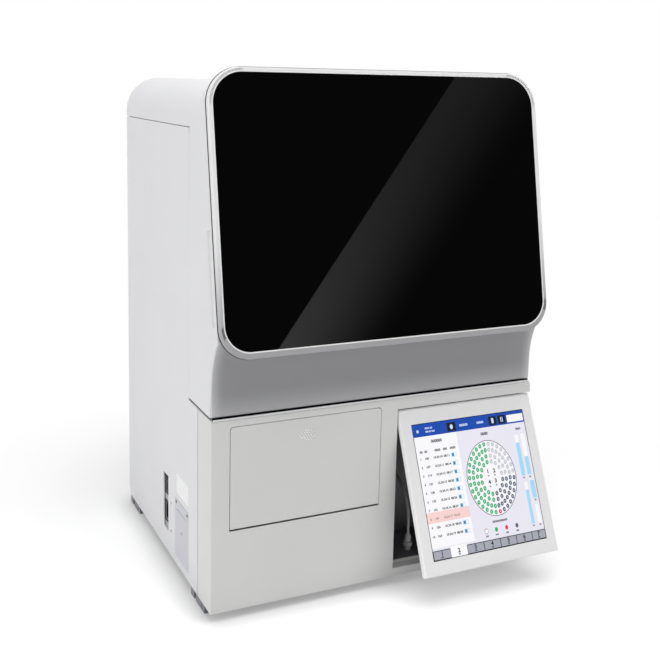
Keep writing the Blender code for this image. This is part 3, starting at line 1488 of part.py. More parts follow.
def make_gantry():
    """The rail, the carriage along it, the slider along its arm, and the probe."""
    rail_front = BULKHEAD_Y - RAIL_TO_BULKHEAD
    rail_y = (rail_front, rail_front + RAIL_DEPTH)
    rail_z = (DECK_Z + RAIL_LIFT, DECK_Z + RAIL_LIFT + RAIL_HEIGHT)
    block("gantry_rail", (INNER_LEFT, INNER_RIGHT), rail_y, rail_z, ALUMINIUM)
    arm_right = PARK_X - SLIDER_WIDTH / 2 - FIT_GAP
    arm_x = (arm_right - ARM_WIDTH, arm_right)
    middle = sum(arm_x) / 2
    carriage_x = (middle - CARRIAGE_WIDTH / 2, middle + CARRIAGE_WIDTH / 2)
    face = rail_y[0] - FIT_GAP
    over = rail_z[1] + FIT_GAP
    hook_back = rail_y[1] + FIT_GAP
    carriage = block(
        "x_carriage",
        carriage_x,
        (face - CARRIAGE_DEPTH, face),
        (rail_z[0] - CARRIAGE_OVERHANG, over + CARRIAGE_OVERHANG),
        DARK_PLASTIC,
    )
    arm_z = (sum(rail_z) / 2 - ARM_HEIGHT / 2, sum(rail_z) / 2 + ARM_HEIGHT / 2)
    join(
        carriage,
        block(
            "carriage_top",
            carriage_x,
            (face - CARRIAGE_DEPTH / 2, hook_back + CARRIAGE_OVERHANG),
            (over, over + CARRIAGE_OVERHANG),
        ),
        block(
            "carriage_hook",
            carriage_x,
            (hook_back, hook_back + CARRIAGE_OVERHANG),
            (over - CARRIAGE_OVERHANG, over + CARRIAGE_OVERHANG / 2),
        ),
        block("arm", arm_x, (FRONT + ARM_TIP, face - CARRIAGE_DEPTH / 2), arm_z),
    )
    slider = make_slider(arm_x, arm_z)
    probe = make_probe()
    hang_on(slider, probe)
    hang_on(carriage, slider)


def make_slider(arm_x, arm_z):
    """The block that slides along the arm, hooked over it, with a square hole for the probe's bar."""
    y = FRONT + PARK_Y
    z = sum(arm_z) / 2
    y_span = (y - SLIDER_LENGTH / 2, y + SLIDER_LENGTH / 2)
    slider = block(
        "y_carriage",
        (PARK_X - SLIDER_WIDTH / 2, PARK_X + SLIDER_WIDTH / 2),
        y_span,
        (z - SLIDER_HEIGHT / 2, z + SLIDER_HEIGHT / 2),
        GREY_PLASTIC,
    )
    over = arm_z[1] + FIT_GAP
    outside = arm_x[0] - FIT_GAP
    lip = CARRIAGE_OVERHANG / 2
    join(
        slider,
        block("slider_top", (outside - lip, PARK_X), y_span, (over, over + lip)),
        block("slider_lip", (outside - lip, outside), y_span, (over - lip, over + lip / 2)),
    )
    half = PROBE_BAR / 2 + FIT_GAP
    hole_z = (z - SLIDER_HEIGHT, z + SLIDER_HEIGHT)
    return cut(slider, block("bar_hole", (PARK_X - half, PARK_X + half), (y - half, y + half), hole_z))


def make_probe():
    """The square bar with the needle under it, parked over the wash well."""
    y = FRONT + PARK_Y
    tip = DECK_Z + PROBE_TIP
    hub_low = tip + NEEDLE_LENGTH
    hub_high = hub_low + NEEDLE_HUB_LENGTH
    half = PROBE_BAR / 2
    probe = block(
        "probe",
        (PARK_X - half, PARK_X + half),
        (y - half, y + half),
        (hub_high - half, hub_high - half + PROBE_BAR_LENGTH),
        BRIGHT_STEEL,
    )
    hub = rod("needle_hub", NEEDLE_HUB_RADIUS, (PARK_X, y, hub_low), (PARK_X, y, hub_high))
    needle = rod(
        "needle",
        NEEDLE_RADIUS / 2,
        (PARK_X, y, tip),
        (PARK_X, y, hub_low + half),
        sides=10,
        end_radius=NEEDLE_RADIUS,
    )
    return join(probe, hub, needle)


def make_syringe_pump():
    """The wash pump on the bulkhead: a drive block with a clamped barrel, and its plunger."""
    back = BULKHEAD_Y - FIT_GAP
    face = back - PUMP_DEPTH
    low = DECK_Z + PUMP_LOW
    high = low + PUMP_HEIGHT
    pump = block(
        "syringe_pump",
        (PUMP_X - PUMP_WIDTH / 2, PUMP_X + PUMP_WIDTH / 2),
        (face, back),
        (low, high),
        DARK_PLASTIC,
    )
    y = face - PLUNGER_KNOB_RADIUS - PANEL / 2
    barrel_high = high - PANEL
    barrel_low = barrel_high - BARREL_LENGTH
    middle = (barrel_high + barrel_low) / 2
    clamp = block(
        "clamp",
        (PUMP_X - BARREL_RADIUS, PUMP_X + BARREL_RADIUS),
        (y, face + PANEL),
        (middle - BARREL_RADIUS, middle + BARREL_RADIUS),
    )
    barrel = rod("barrel", BARREL_RADIUS, (PUMP_X, y, barrel_low), (PUMP_X, y, barrel_high))
    join(pump, clamp, barrel)
    bore = rod(
        "barrel_bore",
        PLUNGER_RADIUS + FIT_GAP,
        (PUMP_X, y, barrel_low - CUT_OVERRUN),
        (PUMP_X, y, barrel_low + PLUNGER_INSIDE + PANEL),
        sides=12,
    )
    cut(pump, bore)
    plunger = rod(
        "syringe_plunger",
        PLUNGER_RADIUS,
        (PUMP_X, y, barrel_low - PLUNGER_OUTSIDE),
        (PUMP_X, y, barrel_low + PLUNGER_INSIDE),
        sides=12,
        look=WHITE_PLASTIC,
    )
    knob_low = barrel_low - PLUNGER_OUTSIDE - PLUNGER_KNOB_HEIGHT / 2
    knob_high = knob_low + PLUNGER_KNOB_HEIGHT
    join(plunger, rod("knob", PLUNGER_KNOB_RADIUS, (PUMP_X, y, knob_low), (PUMP_X, y, knob_high)))


def make_fan():
    """The fan on the rear panel: a frame with struts, and a rotor with swept blades."""
    back = REAR - PANEL - FIT_GAP
    front = back - FAN_DEPTH
    z = SEAM_Z - FAN_DROP
    half = FAN_SIZE / 2
    fan_x = (FAN_X - half, FAN_X + half)
    fan = block("fan_frame", fan_x, (front, back), (z - half, z + half), DARK_PLASTIC)
    cut(fan, rod("fan_bore", FAN_BORE, (FAN_X, front - PANEL, z), (FAN_X, back + PANEL, z), sides=32))
    strut_y = (front, front + FAN_STRUT)
    thin = FAN_STRUT / 2
    reach = FAN_BORE + thin
    join(
        fan,
        block("strut", (FAN_X - reach, FAN_X + reach), strut_y, (z - thin, z + thin)),
        block("strut", (FAN_X - thin, FAN_X + thin), strut_y, (z - reach, z + reach)),
        rod("fan_hub", FAN_HUB_RADIUS, (FAN_X, front, z), (FAN_X, front + FAN_STRUT, z), sides=20),
    )
    tip = FAN_BORE - FAN_BLADE_GAP
    turn = 360 / FAN_BLADES
    loop = []
    for blade in range(FAN_BLADES):
        start = blade * turn
        width = math.degrees(FAN_BLADE_THICKNESS / FAN_HUB_RADIUS)
        tip_width = math.degrees(FAN_BLADE_THICKNESS / tip)
        loop += arc((0, 0), FAN_HUB_RADIUS, start, start + turn - width, 3)
        loop += arc((0, 0), tip, start + turn, start + turn + tip_width, 1)
    middle = (FAN_X, 0, z)
    depth = (-(back - FAN_STRUT / 2), -(front + FAN_STRUT + FIT_GAP))
    rotor = outline("fan_rotor", FRONT_VIEW, [loop], depth, DARK_PLASTIC, middle)
    set_origin(rotor, (FAN_X, (front + back) / 2, z))


def make_electronics():
    """The power supply on the pan, and the control board on the right frame plate."""
    supply_back = REAR - SUPPLY_BACK
    supply = block(
        "power_supply",
        (LEFT + SUPPLY_SIDE, LEFT + SUPPLY_SIDE + SUPPLY_WIDTH),
        (supply_back - SUPPLY_DEPTH, supply_back),
        (PAN_TOP + FIT_GAP, PAN_TOP + SUPPLY_HEIGHT),
        SHEET_STEEL,
    )
    round_edges(supply, PANEL / 4, segments=1)
    plate_face = RIGHT - PANEL - FIT_GAP - PLATE - FIT_GAP
    board_back = plate_face - STANDOFF
    board_y = (REAR - BOARD_BACK - BOARD_WIDTH, REAR - BOARD_BACK)
    board_z = (BASE + BOARD_LOW, BASE + BOARD_LOW + BOARD_HEIGHT)
    board_face = board_back - BOARD_THICKNESS
    board = block("control_board", (board_face, board_back), board_y, board_z, CIRCUIT_GREEN)
    inset = STANDOFF
    for y in (board_y[0] + inset, board_y[1] - inset):
        top = board_z[1] + PANEL
        post_x = (board_face + FIT_GAP, plate_face)
        post = block("post", post_x, (y - PANEL, y + PANEL), (board_z[1] - inset, top))
        join(board, post)
    chip_depth = BOARD_THICKNESS * 1.5
    for share_y, share_z, size in BOARD_CHIP_SHARES:
        y = board_y[0] + share_y * BOARD_WIDTH
        z = board_z[0] + share_z * BOARD_HEIGHT
        half = size * BOARD_HEIGHT / 2
        chip_x = (board_face - chip_depth, board_face + FIT_GAP)
        join(board, block("chip", chip_x, (y - half, y + half), (z - half, z + half)))


def build():
    """Makes every piece and hangs the moving ones on their axes."""
    make_base()
    make_left_side()
    make_side_panel("right_side_panel", RIGHT, RIGHT - PANEL)
    make_rear_panel()
    make_fascia()
    flap = make_flap()
    hang_on(axis_empty("flap_axis", FLAP_AXIS), flap)
    make_compartment()
    make_pocket()
    make_screen()
    leaves = []
    for side, x in (("left", LEFT + HINGE_SIDE), ("right", RIGHT - HINGE_SIDE)):
        leaves.append(make_hood_hinge(side, x))
    hood_axis = axis_empty("hood_hinge_axis", HOOD_AXIS)
    hang_on(hood_axis, make_hood_shell(), make_window_frame(), make_window_glass(), *leaves)
    make_frame_plate("frame_plate_left", LEFT + PANEL + FIT_GAP)
    make_frame_plate("frame_plate_right", RIGHT - PANEL - FIT_GAP)
    make_deck()
    make_carousel()
    make_incubator()
    make_gantry()
    make_syringe_pump()
    make_fan()
    make_electronics()


build()
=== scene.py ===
"""The looks of a bench-top immunoassay analyzer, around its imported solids.

Metres, +Z up. The front faces -Y, and +X is the user's right. The sections follow the machine as it
is put together, from the pan and the feet to the hood and the touch screen, and the studio is last.
"""

import json
import math

import bmesh
import bpy
from mathutils import Matrix, Vector


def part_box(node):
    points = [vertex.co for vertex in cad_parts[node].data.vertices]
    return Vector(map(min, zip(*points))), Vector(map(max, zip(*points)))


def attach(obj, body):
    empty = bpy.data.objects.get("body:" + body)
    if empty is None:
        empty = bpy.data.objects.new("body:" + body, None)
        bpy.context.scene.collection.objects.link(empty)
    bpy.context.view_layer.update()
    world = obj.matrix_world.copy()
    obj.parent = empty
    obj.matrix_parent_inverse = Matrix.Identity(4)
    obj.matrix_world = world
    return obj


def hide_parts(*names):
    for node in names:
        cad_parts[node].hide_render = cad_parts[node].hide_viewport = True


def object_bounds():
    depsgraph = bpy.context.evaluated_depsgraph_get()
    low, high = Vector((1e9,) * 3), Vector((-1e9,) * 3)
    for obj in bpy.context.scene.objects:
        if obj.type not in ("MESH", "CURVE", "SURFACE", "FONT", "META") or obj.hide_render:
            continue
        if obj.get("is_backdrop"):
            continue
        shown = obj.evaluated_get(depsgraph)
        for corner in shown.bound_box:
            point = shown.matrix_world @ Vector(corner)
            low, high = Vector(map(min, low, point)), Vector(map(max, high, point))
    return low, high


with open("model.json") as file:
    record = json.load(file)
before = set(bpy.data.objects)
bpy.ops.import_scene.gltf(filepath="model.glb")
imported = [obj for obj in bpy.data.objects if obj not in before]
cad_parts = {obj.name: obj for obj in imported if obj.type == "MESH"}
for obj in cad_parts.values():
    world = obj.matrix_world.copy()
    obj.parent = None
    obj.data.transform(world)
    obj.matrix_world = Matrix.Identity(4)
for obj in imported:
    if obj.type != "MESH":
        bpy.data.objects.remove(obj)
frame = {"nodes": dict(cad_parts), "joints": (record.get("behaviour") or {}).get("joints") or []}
cad_low, cad_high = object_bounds()


# Base pan
# A pan of zinc-plated sheet steel carries the whole machine. It is laser cut and folded, and a pad is
# welded on over each foot.
WELD = 0.00001
SHEET_EDGE = 0.0004


def linear(colour):
    """An sRGB hex colour as the linear colour that a shader takes."""
    parts = [int(colour[start : start + 2], 16) / 255 for start in (1, 3, 5)]
    return [part / 12.92 if part <= 0.04045 else ((part + 0.055) / 1.055) ** 2.4 for part in parts] + [1]


def add_node(tree, kind, inputs=None, **settings):
    """A shader node with its settings, its inputs set to values or linked to other nodes' sockets."""
    made = tree.nodes.new("ShaderNode" + kind)
    for name, value in settings.items():
        setattr(made, name, value)
    for socket, value in (inputs or {}).items():
        if isinstance(value, bpy.types.NodeSocket):
            tree.links.new(value, made.inputs[socket])
        else:
            made.inputs[socket].default_value = value
    return made


def finish(name, colours, roughness, patch, grain, height, stretch=(1, 1, 1), **shader_values):
    """A material of two close colours in patches, with an uneven gloss and a grain that stands up.

    The patch, the grain and its height are lengths on the piece. A real moulded, rolled or painted
    grain is finer than 1 mm and would not show, so it is drawn 1.0 to 1.6 mm coarse.
    """
    made = bpy.data.materials.new(name)
    made.use_nodes = True
    tree = made.node_tree
    shader = tree.nodes["Principled BSDF"]
    place = add_node(tree, "TexCoord").outputs["Object"]
    cloud = add_node(tree, "TexNoise", {"Vector": place, "Scale": 1 / patch, "Detail": 3.0}).outputs["Fac"]
    laid = add_node(tree, "Mapping", {"Vector": place, "Scale": [share / grain for share in stretch]})
    speck_inputs = {"Vector": laid.outputs["Vector"], "Scale": 1.0, "Detail": 2.0}
    specks = add_node(tree, "TexNoise", speck_inputs).outputs["Fac"]
    tint_inputs = {0: cloud, 6: linear(colours[0]), 7: linear(colours[1])}
    tint = add_node(tree, "Mix", tint_inputs, data_type="RGBA")
    dull = add_node(tree, "MapRange", {"Value": specks, "To Min": roughness[0], "To Max": roughness[1]})
    bumps = add_node(tree, "Bump", {"Height": specks, "Distance": height})
    tree.links.new(tint.outputs[2], shader.inputs["Base Color"])
    tree.links.new(dull.outputs["Result"], shader.inputs["Roughness"])
    tree.links.new(bumps.outputs["Normal"], shader.inputs["Normal"])
    for socket, value in shader_values.items():
        shader.inputs[socket.replace("_", " ")].default_value = value
    return made


# Zinc-plated sheet steel, rolled: a dull blue-grey metal with faint patches 30 mm across
ZINC_STEEL = finish(
    "zinc_plated_sheet_steel", ("#a9abb2", "#9c9ea6"), (0.34, 0.50), patch=0.030, grain=0.0016,
    height=0.00002, Metallic=0.85,
)


def alone(piece):
    """Selects only this piece and makes it active."""
    bpy.ops.object.select_all(action="DESELECT")
    piece.select_set(True)
    bpy.context.view_layer.objects.active = piece


def smooth(piece, angle=35):
    """Smooth shading where faces meet by less than an angle, with the large faces kept flat."""
    alone(piece)
    bpy.ops.object.shade_smooth_by_angle(angle=math.radians(angle))
    flats = piece.modifiers.new("flats", "WEIGHTED_NORMAL")
    flats.keep_sharp = True
    bpy.ops.object.modifier_apply(modifier=flats.name)
    return piece


def round_off(piece, width, segments=2, angle=40):
    """Rounds the edges sharper than an angle, and shades the piece smooth."""
    alone(piece)
    edges = piece.modifiers.new("edges", "BEVEL")
    edges.width = width
    edges.segments = segments
    edges.limit_method = "ANGLE"
    edges.angle_limit = math.radians(angle)
    edges.use_clamp_overlap = False
    bpy.ops.object.modifier_apply(modifier=edges.name)
    return smooth(piece)


def round_some(piece, width, segments, test, angle=40):
    """Rounds only the edges sharper than an angle whose middle passes a test."""
    alone(piece)
    bpy.ops.object.mode_set(mode="EDIT")
    bpy.ops.mesh.select_mode(type="EDGE")
    bpy.ops.mesh.select_all(action="DESELECT")
    bpy.ops.mesh.edges_select_sharp(sharpness=math.radians(angle))
    cage = bmesh.from_edit_mesh(piece.data)
    for edge in cage.edges:
        if edge.select and not test((edge.verts[0].co + edge.verts[1].co) / 2):
            edge.select_set(False)
    cage.select_flush_mode()
    bmesh.update_edit_mesh(piece.data)
    bpy.ops.mesh.bevel(offset=width, segments=segments, affect="EDGES", clamp_overlap=False)
    bpy.ops.object.mode_set(mode="OBJECT")
    return piece


def carve(piece, cutters):
    """Cuts other pieces out of a piece, and removes them."""
    for cutter in cutters:
        hole = piece.modifiers.new("hole", "BOOLEAN")
        hole.operation = "DIFFERENCE"
        hole.object = cutter
        alone(piece)
        bpy.ops.object.modifier_apply(modifier=hole.name)
        bpy.data.objects.remove(cutter)
    return piece


def hand_over(piece, body, slot, material, *nodes):
    """Gives a finished piece its material and its body, and hides the CAD nodes that it stands for. The slot
    is not used.
    """
    piece.data.materials.clear()
    piece.data.materials.append(material)
    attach(piece, body)
    if nodes:
        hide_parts(*nodes)
    return piece


def casting(node, name):
    """A copy of a CAD node as one clean mesh, with its loose triangles merged into whole faces."""
    made = bpy.data.objects.new(name, frame["nodes"][node].data.copy())
    bpy.context.scene.collection.objects.link(made)
    alone(made)
    bpy.ops.object.mode_set(mode="EDIT")
    bpy.ops.mesh.select_all(action="SELECT")
    bpy.ops.mesh.remove_doubles(threshold=WELD)
    bpy.ops.mesh.dissolve_limited(angle_limit=math.radians(1))
    bpy.ops.object.mode_set(mode="OBJECT")
    return made


def dress(node, body, slot, material, edge, segments=2):
    """Shows a CAD node with its edges rounded, as a piece of its own."""
    made = round_off(casting(node, node + "_finished"), edge, segments)
    return hand_over(made, body, slot, material, node)


dress("base_pan", "base", "sheet_steel", ZINC_STEEL, SHEET_EDGE)


# Feet
# Four levelling feet: a moulded rubber puck with a groove round it, on a threaded steel stud with
# a lock nut, screwed up into the pan.
FACING = 0.9
STUD_RADIUS = 0.0048
NUT_RADIUS = 0.0095
NUT_HEIGHT = 0.0026
PUCK_HEIGHT = 0.0064
PUCK_GROOVE = 0.0012
THREAD_PITCH = 0.0008

# Moulded rubber: nearly black, dull and dusty, in patches 12 mm across
RUBBER = finish(
    "moulded_rubber", ("#2b2b2d", "#333335"), (0.62, 0.80), patch=0.012, grain=0.0012, height=0.00004
)
# Turned bright steel: a clear, cool metal with soft reflections, in patches 10 mm across
BRIGHT_STEEL = finish(
    "turned_bright_steel", ("#b9babd", "#aeb0b4"), (0.18, 0.32), patch=0.010, grain=0.0010, height=0.00001,
    Metallic=1.0,
)


def pick(piece, kind, test):
    """In edit mode, selects only the faces, edges or corners whose middle and direction pass a test."""
    bpy.ops.mesh.select_mode(type=kind)
    bpy.ops.mesh.select_all(action="DESELECT")
    cage = bmesh.from_edit_mesh(piece.data)
    if kind == "FACE":
        for face in cage.faces:
            face.select_set(test(face.calc_center_median(), face.normal))
    elif kind == "EDGE":
        for edge in cage.edges:
            run = edge.verts[1].co - edge.verts[0].co
            if test((edge.verts[0].co + edge.verts[1].co) / 2, run.normalized()):
                edge.select_set(True)
    else:
        for corner in cage.verts:
            corner.select_set(test(corner.co, corner.normal))
    cage.select_flush_mode()
    bmesh.update_edit_mesh(piece.data)


def step_in(width, rise):
    """In edit mode, insets the selected faces and moves what is inside up, or down below zero."""
    bpy.ops.mesh.inset(thickness=width)
    bpy.ops.mesh.extrude_region_move(TRANSFORM_OT_translate={"value": (0, 0, rise)})


def drum(name, radius, low, high, sides=32):
    """A closed cylinder between two points, with its place in its mesh."""
    low, high = Vector(low), Vector(high)
    run = high - low
    bpy.ops.object.select_all(action="DESELECT")
    bpy.ops.mesh.primitive_cylinder_add(
        vertices=sides,
        radius=radius,
        depth=run.length,
        location=(low + high) / 2,
        rotation=run.to_track_quat("Z", "Y").to_euler(),
    )
    made = bpy.context.active_object
    made.name = name
    bpy.ops.object.transform_apply(location=True, rotation=True, scale=True)
    return made


def slab(name, low, high):
    """A closed box between two corners, with its place in its mesh."""
    low, high = Vector(low), Vector(high)
    bpy.ops.object.select_all(action="DESELECT")
    bpy.ops.mesh.primitive_cube_add(size=1, location=(low + high) / 2)
    made = bpy.context.active_object
    made.name = name
    made.scale = high - low
    bpy.ops.object.transform_apply(location=True, rotation=True, scale=True)
    return made


def joined(name, pieces):
    """Several pieces as one, with the mesh of each kept whole."""
    bpy.ops.object.select_all(action="DESELECT")
    for piece in pieces:
        piece.select_set(True)
    bpy.context.view_layer.objects.active = pieces[0]
    if len(pieces) > 1:
        bpy.ops.object.join()
    made = bpy.context.active_object
    made.name = name
    return made


def copy_of(piece, name, shift):
    """A copy of a piece with a mesh of its own, moved."""
    made = bpy.data.objects.new(name, piece.data.copy())
    bpy.context.scene.collection.objects.link(made)
    made.data.transform(Matrix.Translation(shift))
    return made


foot_low, foot_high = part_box("foot_front_left")
foot_x, foot_y = (foot_low.x + foot_high.x) / 2, (foot_low.y + foot_high.y) / 2


def foot_drum(name, radius, low, high, sides):
    """A cylinder about the first foot's axis, between two heights."""
    return drum(name, radius, (foot_x, foot_y, low), (foot_x, foot_y, high), sides)


puck = foot_drum("puck", (foot_high.x - foot_low.x) / 2, 0, PUCK_HEIGHT, sides=48)
bpy.ops.object.mode_set(mode="EDIT")
pick(puck, "FACE", lambda place, normal: normal.z > FACING)
step_in(PUCK_GROOVE, -PUCK_GROOVE)
step_in(PUCK_GROOVE, PUCK_GROOVE)
bpy.ops.object.mode_set(mode="OBJECT")
round_off(puck, PUCK_GROOVE / 3)
nut_low = foot_high.z - NUT_HEIGHT
nut = foot_drum("nut", NUT_RADIUS, nut_low, foot_high.z, sides=6)
round_off(nut, NUT_HEIGHT / 6)
threads = []
thread_z = PUCK_HEIGHT
while thread_z + THREAD_PITCH < nut_low:
    thread = foot_drum("thread", STUD_RADIUS, thread_z, thread_z + THREAD_PITCH, sides=24)
    threads.append(round_off(thread, THREAD_PITCH / 4, 1))
    thread_z += THREAD_PITCH
stud = joined("stud", [nut] + threads)
for node in ("foot_front_left", "foot_front_right", "foot_rear_left", "foot_rear_right"):
    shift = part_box(node)[0] - foot_low
    hand_over(copy_of(puck, node + "_puck", shift), "base", "rubber", RUBBER, node)
    hand_over(copy_of(stud, node + "_stud", shift), "base", "bright_steel", BRIGHT_STEEL)
for pattern in (puck, stud):
    bpy.data.objects.remove(pattern)


# Corner pads
# Grey moulded pads clip under the lower edges of the side panels, a long one and a short one at each
# corner, with a slit between them and a screw well in the long one's face.
PAD_DEPTH = 0.014
PAD_CLEAR = 0.0012
PAD_SPANS = ((-0.172, -0.128), (-0.120, -0.103), (0.222, 0.262), (0.270, 0.289))
PAD_EDGE = 0.0015
PAD_WELL_SHARE = 0.3

# Moulded mid-grey plastic: darker than the panels, with a soft sheen, in patches 20 mm across
PAD_PLASTIC = finish(
    "moulded_mid_grey_plastic", ("#8a8a91", "#818188"), (0.44, 0.60), patch=0.020, grain=0.0012,
    height=0.00003,
)
pad_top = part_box("left_side_panel")[0].z - PAD_CLEAR / 4
for side_name, side in (("left", -1), ("right", 1)):
    outer = side * (cad_high.x - PAD_CLEAR)
    inner = side * (cad_high.x - PAD_CLEAR - PAD_DEPTH)
    for number, (y_low, y_high) in enumerate(PAD_SPANS):
        low = (min(outer, inner), y_low, PAD_CLEAR)
        high = (max(outer, inner), y_high, pad_top)
        pad = slab("corner_pad_%s_%d" % (side_name, number + 1), low, high)
        if y_high - y_low > PAD_DEPTH * 2:
            well_y = y_low + (y_high - y_low) * PAD_WELL_SHARE
            well_x = (outer - side * PAD_EDGE, outer + side)
            ends = [(x, well_y, pad_top / 2) for x in well_x]
            carve(pad, [drum("well", pad_top / 4, *ends, sides=20)])
        hand_over(round_off(pad, PAD_EDGE / 2), "base", "grey_plastic", PAD_PLASTIC)


# Inner frame
# Two laser-cut steel side plates stand on the pan and carry the aluminium worktop and bulkhead. They
# are hidden by the panels until the hood is open.

# Brushed aluminium: a bright, pale metal with brush lines along X, which are 3 mm apart as drawn, so
# that they show, and in patches 60 mm across
BRUSHED_ALUMINIUM = finish(
    "brushed_aluminium", ("#c6c7ca", "#bcbdc0"), (0.26, 0.40), patch=0.060, grain=0.0030, height=0.00001,
    stretch=(0.08, 1, 1), Metallic=1.0,
)
for node in ("frame_plate_left", "frame_plate_right"):
    dress(node, "base", "sheet_steel", ZINC_STEEL, SHEET_EDGE)
for node in ("deck_plate", "rear_bulkhead", "gantry_rail"):
    dress(node, "base", "aluminium", BRUSHED_ALUMINIUM, SHEET_EDGE)


# Power supply, control board and motor
# The mains supply is a closed steel box on the pan, the board a green glass-epoxy laminate on posts,
# and the carousel's motor hangs under the worktop.

# Moulded black plastic: a dark grey with a soft sheen, in patches 20 mm across
BLACK_PLASTIC = finish(
    "moulded_black_plastic", ("#232325", "#1c1c1e"), (0.42, 0.58), patch=0.020, grain=0.0012, height=0.00003
)
# Solder-masked glass epoxy: deep green and glossy, lighter over its copper, in patches 4 mm across
CIRCUIT_BOARD = finish(
    "solder_masked_glass_epoxy", ("#14573a", "#0f4a30"), (0.28, 0.45), patch=0.004, grain=0.0010,
    height=0.00004,
)
dress("power_supply", "base", "sheet_steel", ZINC_STEEL, SHEET_EDGE)
dress("control_board", "base", "circuit_green", CIRCUIT_BOARD, SHEET_EDGE / 2)
dress("carousel_motor", "base", "dark_plastic", BLACK_PLASTIC, SHEET_EDGE)


# Carousel
# A moulded turntable carries four injection-moulded racks, each a quarter ring full of sample tubes.
# The tubes are closed by ribbed push-in caps in the colours that labs use.
CAP_COLOURS = (("#8d2f3a", "#832a35"), ("#5b4a94", "#534389"), ("#c9a13a", "#bd9632"), ("#3d8a5f", "#378056"))
TUBE_ROW_SHARES = (0.13, 0.36, 0.59, 0.84)
TUBE_ROW_COUNTS = (4, 6, 7, 9)
RACK_INNER = 0.054
RACK_GAP = 0.003
CAP_RADIUS = 0.0074
CAP_SKIRT = 0.014
CAP_DISH = 0.0015
CAP_RIBS = 18

# Moulded grey plastic: a light neutral grey with a soft sheen, in patches 45 mm across
GREY_PLASTIC = finish(
    "moulded_grey_plastic", ("#c3c3c5", "#bababc"), (0.36, 0.52), patch=0.045, grain=0.0012, height=0.00003
)
# Moulded blue plastic: a strong blue, a little glossy, in patches 30 mm across
RACK_PLASTIC = finish(
    "moulded_blue_plastic", ("#2f62a8", "#2a5a9c"), (0.32, 0.46), patch=0.030, grain=0.0012, height=0.00003
)
carousel_low, carousel_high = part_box("carousel_turntable")
carousel_x = (carousel_low.x + carousel_high.x) / 2
carousel_y = (carousel_low.y + carousel_high.y) / 2
dress("carousel_turntable", "carousel", "grey_plastic", GREY_PLASTIC, SHEET_EDGE)
rack_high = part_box("rack_a")[1]
rack_outer = rack_high.x - carousel_x + RACK_GAP / 4
cap = drum("cap", CAP_RADIUS, (0, 0, -CAP_SKIRT), (0, 0, 0), CAP_RIBS)
bpy.ops.object.mode_set(mode="EDIT")
pick(cap, "FACE", lambda place, normal: abs(normal.z) < 1 - FACING)
bpy.ops.mesh.inset(thickness=CAP_DISH / 3, use_individual=True)
pick(cap, "FACE", lambda place, normal: normal.z > FACING)
step_in(CAP_DISH, -CAP_DISH)
bpy.ops.object.mode_set(mode="OBJECT")
smooth(cap, 15)
for index, rack in enumerate(("rack_a", "rack_b", "rack_c", "rack_d")):
    dress(rack, "carousel", "rack_blue", RACK_PLASTIC, SHEET_EDGE / 2, 1)
    gap = math.asin(RACK_GAP / 2 / rack_outer)
    start = index * math.pi / 2 + gap
    sweep = math.pi / 2 - 2 * gap
    caps = []
    for share, count in zip(TUBE_ROW_SHARES, TUBE_ROW_COUNTS):
        radius = RACK_INNER + share * (rack_outer - RACK_INNER)
        for tube in range(count):
            angle = start + (tube + 0.5) * sweep / count
            x = carousel_x + radius * math.cos(angle)
            y = carousel_y + radius * math.sin(angle)
            caps.append(copy_of(cap, "cap", (x, y, rack_high.z)))
    # Moulded cap plastic: one clear colour for each rack, a little glossy, in patches 10 mm across
    cap_plastic = finish(
        "moulded_cap_plastic_%d" % (index + 1), CAP_COLOURS[index], (0.35, 0.50), patch=0.010, grain=0.0010,
        height=0.00002,
    )
    hand_over(joined(rack + "_caps", caps), "carousel", "rack_blue", cap_plastic)
bpy.data.objects.remove(cap)


# Incubator, reader and wash well
# A machined aluminium cup heats the black turning ring of reaction wells. Behind it stands the
# reader with its detector tube, and in front the moulded well that rinses the probe.
dress("incubator_housing", "base", "aluminium", BRUSHED_ALUMINIUM, SHEET_EDGE)
dress("incubator_ring", "incubator", "dark_plastic", BLACK_PLASTIC, SHEET_EDGE)
dress("reader_module", "base", "dark_plastic", BLACK_PLASTIC, SHEET_EDGE)
dress("wash_well", "base", "grey_plastic", GREY_PLASTIC, SHEET_EDGE)


# Gantry and wash pump
# The carriage runs along the aluminium rail, the slider along its arm, and the needle on its ground
# steel bar goes down through the slider. The wash pump is a syringe on the bulkhead.

# Painted moulded white plastic: the panels' cool off-white with a satin sheen, in patches 120 mm across
WHITE_PLASTIC = finish(
    "painted_moulded_white_plastic", ("#ececee", "#e6e6e8"), (0.36, 0.50), patch=0.120, grain=0.0014,
    height=0.00003,
)
dress("x_carriage", "gantry_carriage", "dark_plastic", BLACK_PLASTIC, SHEET_EDGE)
dress("y_carriage", "probe_carriage", "grey_plastic", GREY_PLASTIC, SHEET_EDGE)
dress("probe", "probe", "bright_steel", BRIGHT_STEEL, SHEET_EDGE / 2, 1)
dress("syringe_pump", "base", "dark_plastic", BLACK_PLASTIC, SHEET_EDGE)
dress("syringe_plunger", "plunger", "white_plastic", WHITE_PLASTIC, SHEET_EDGE)


# Cooling fan
# A stock axial fan of black glass-filled plastic, screwed behind the slots of the rear panel.
dress("fan_frame", "base", "dark_plastic", BLACK_PLASTIC, SHEET_EDGE)
dress("fan_rotor", "fan", "dark_plastic", BLACK_PLASTIC, SHEET_EDGE / 2, 1)


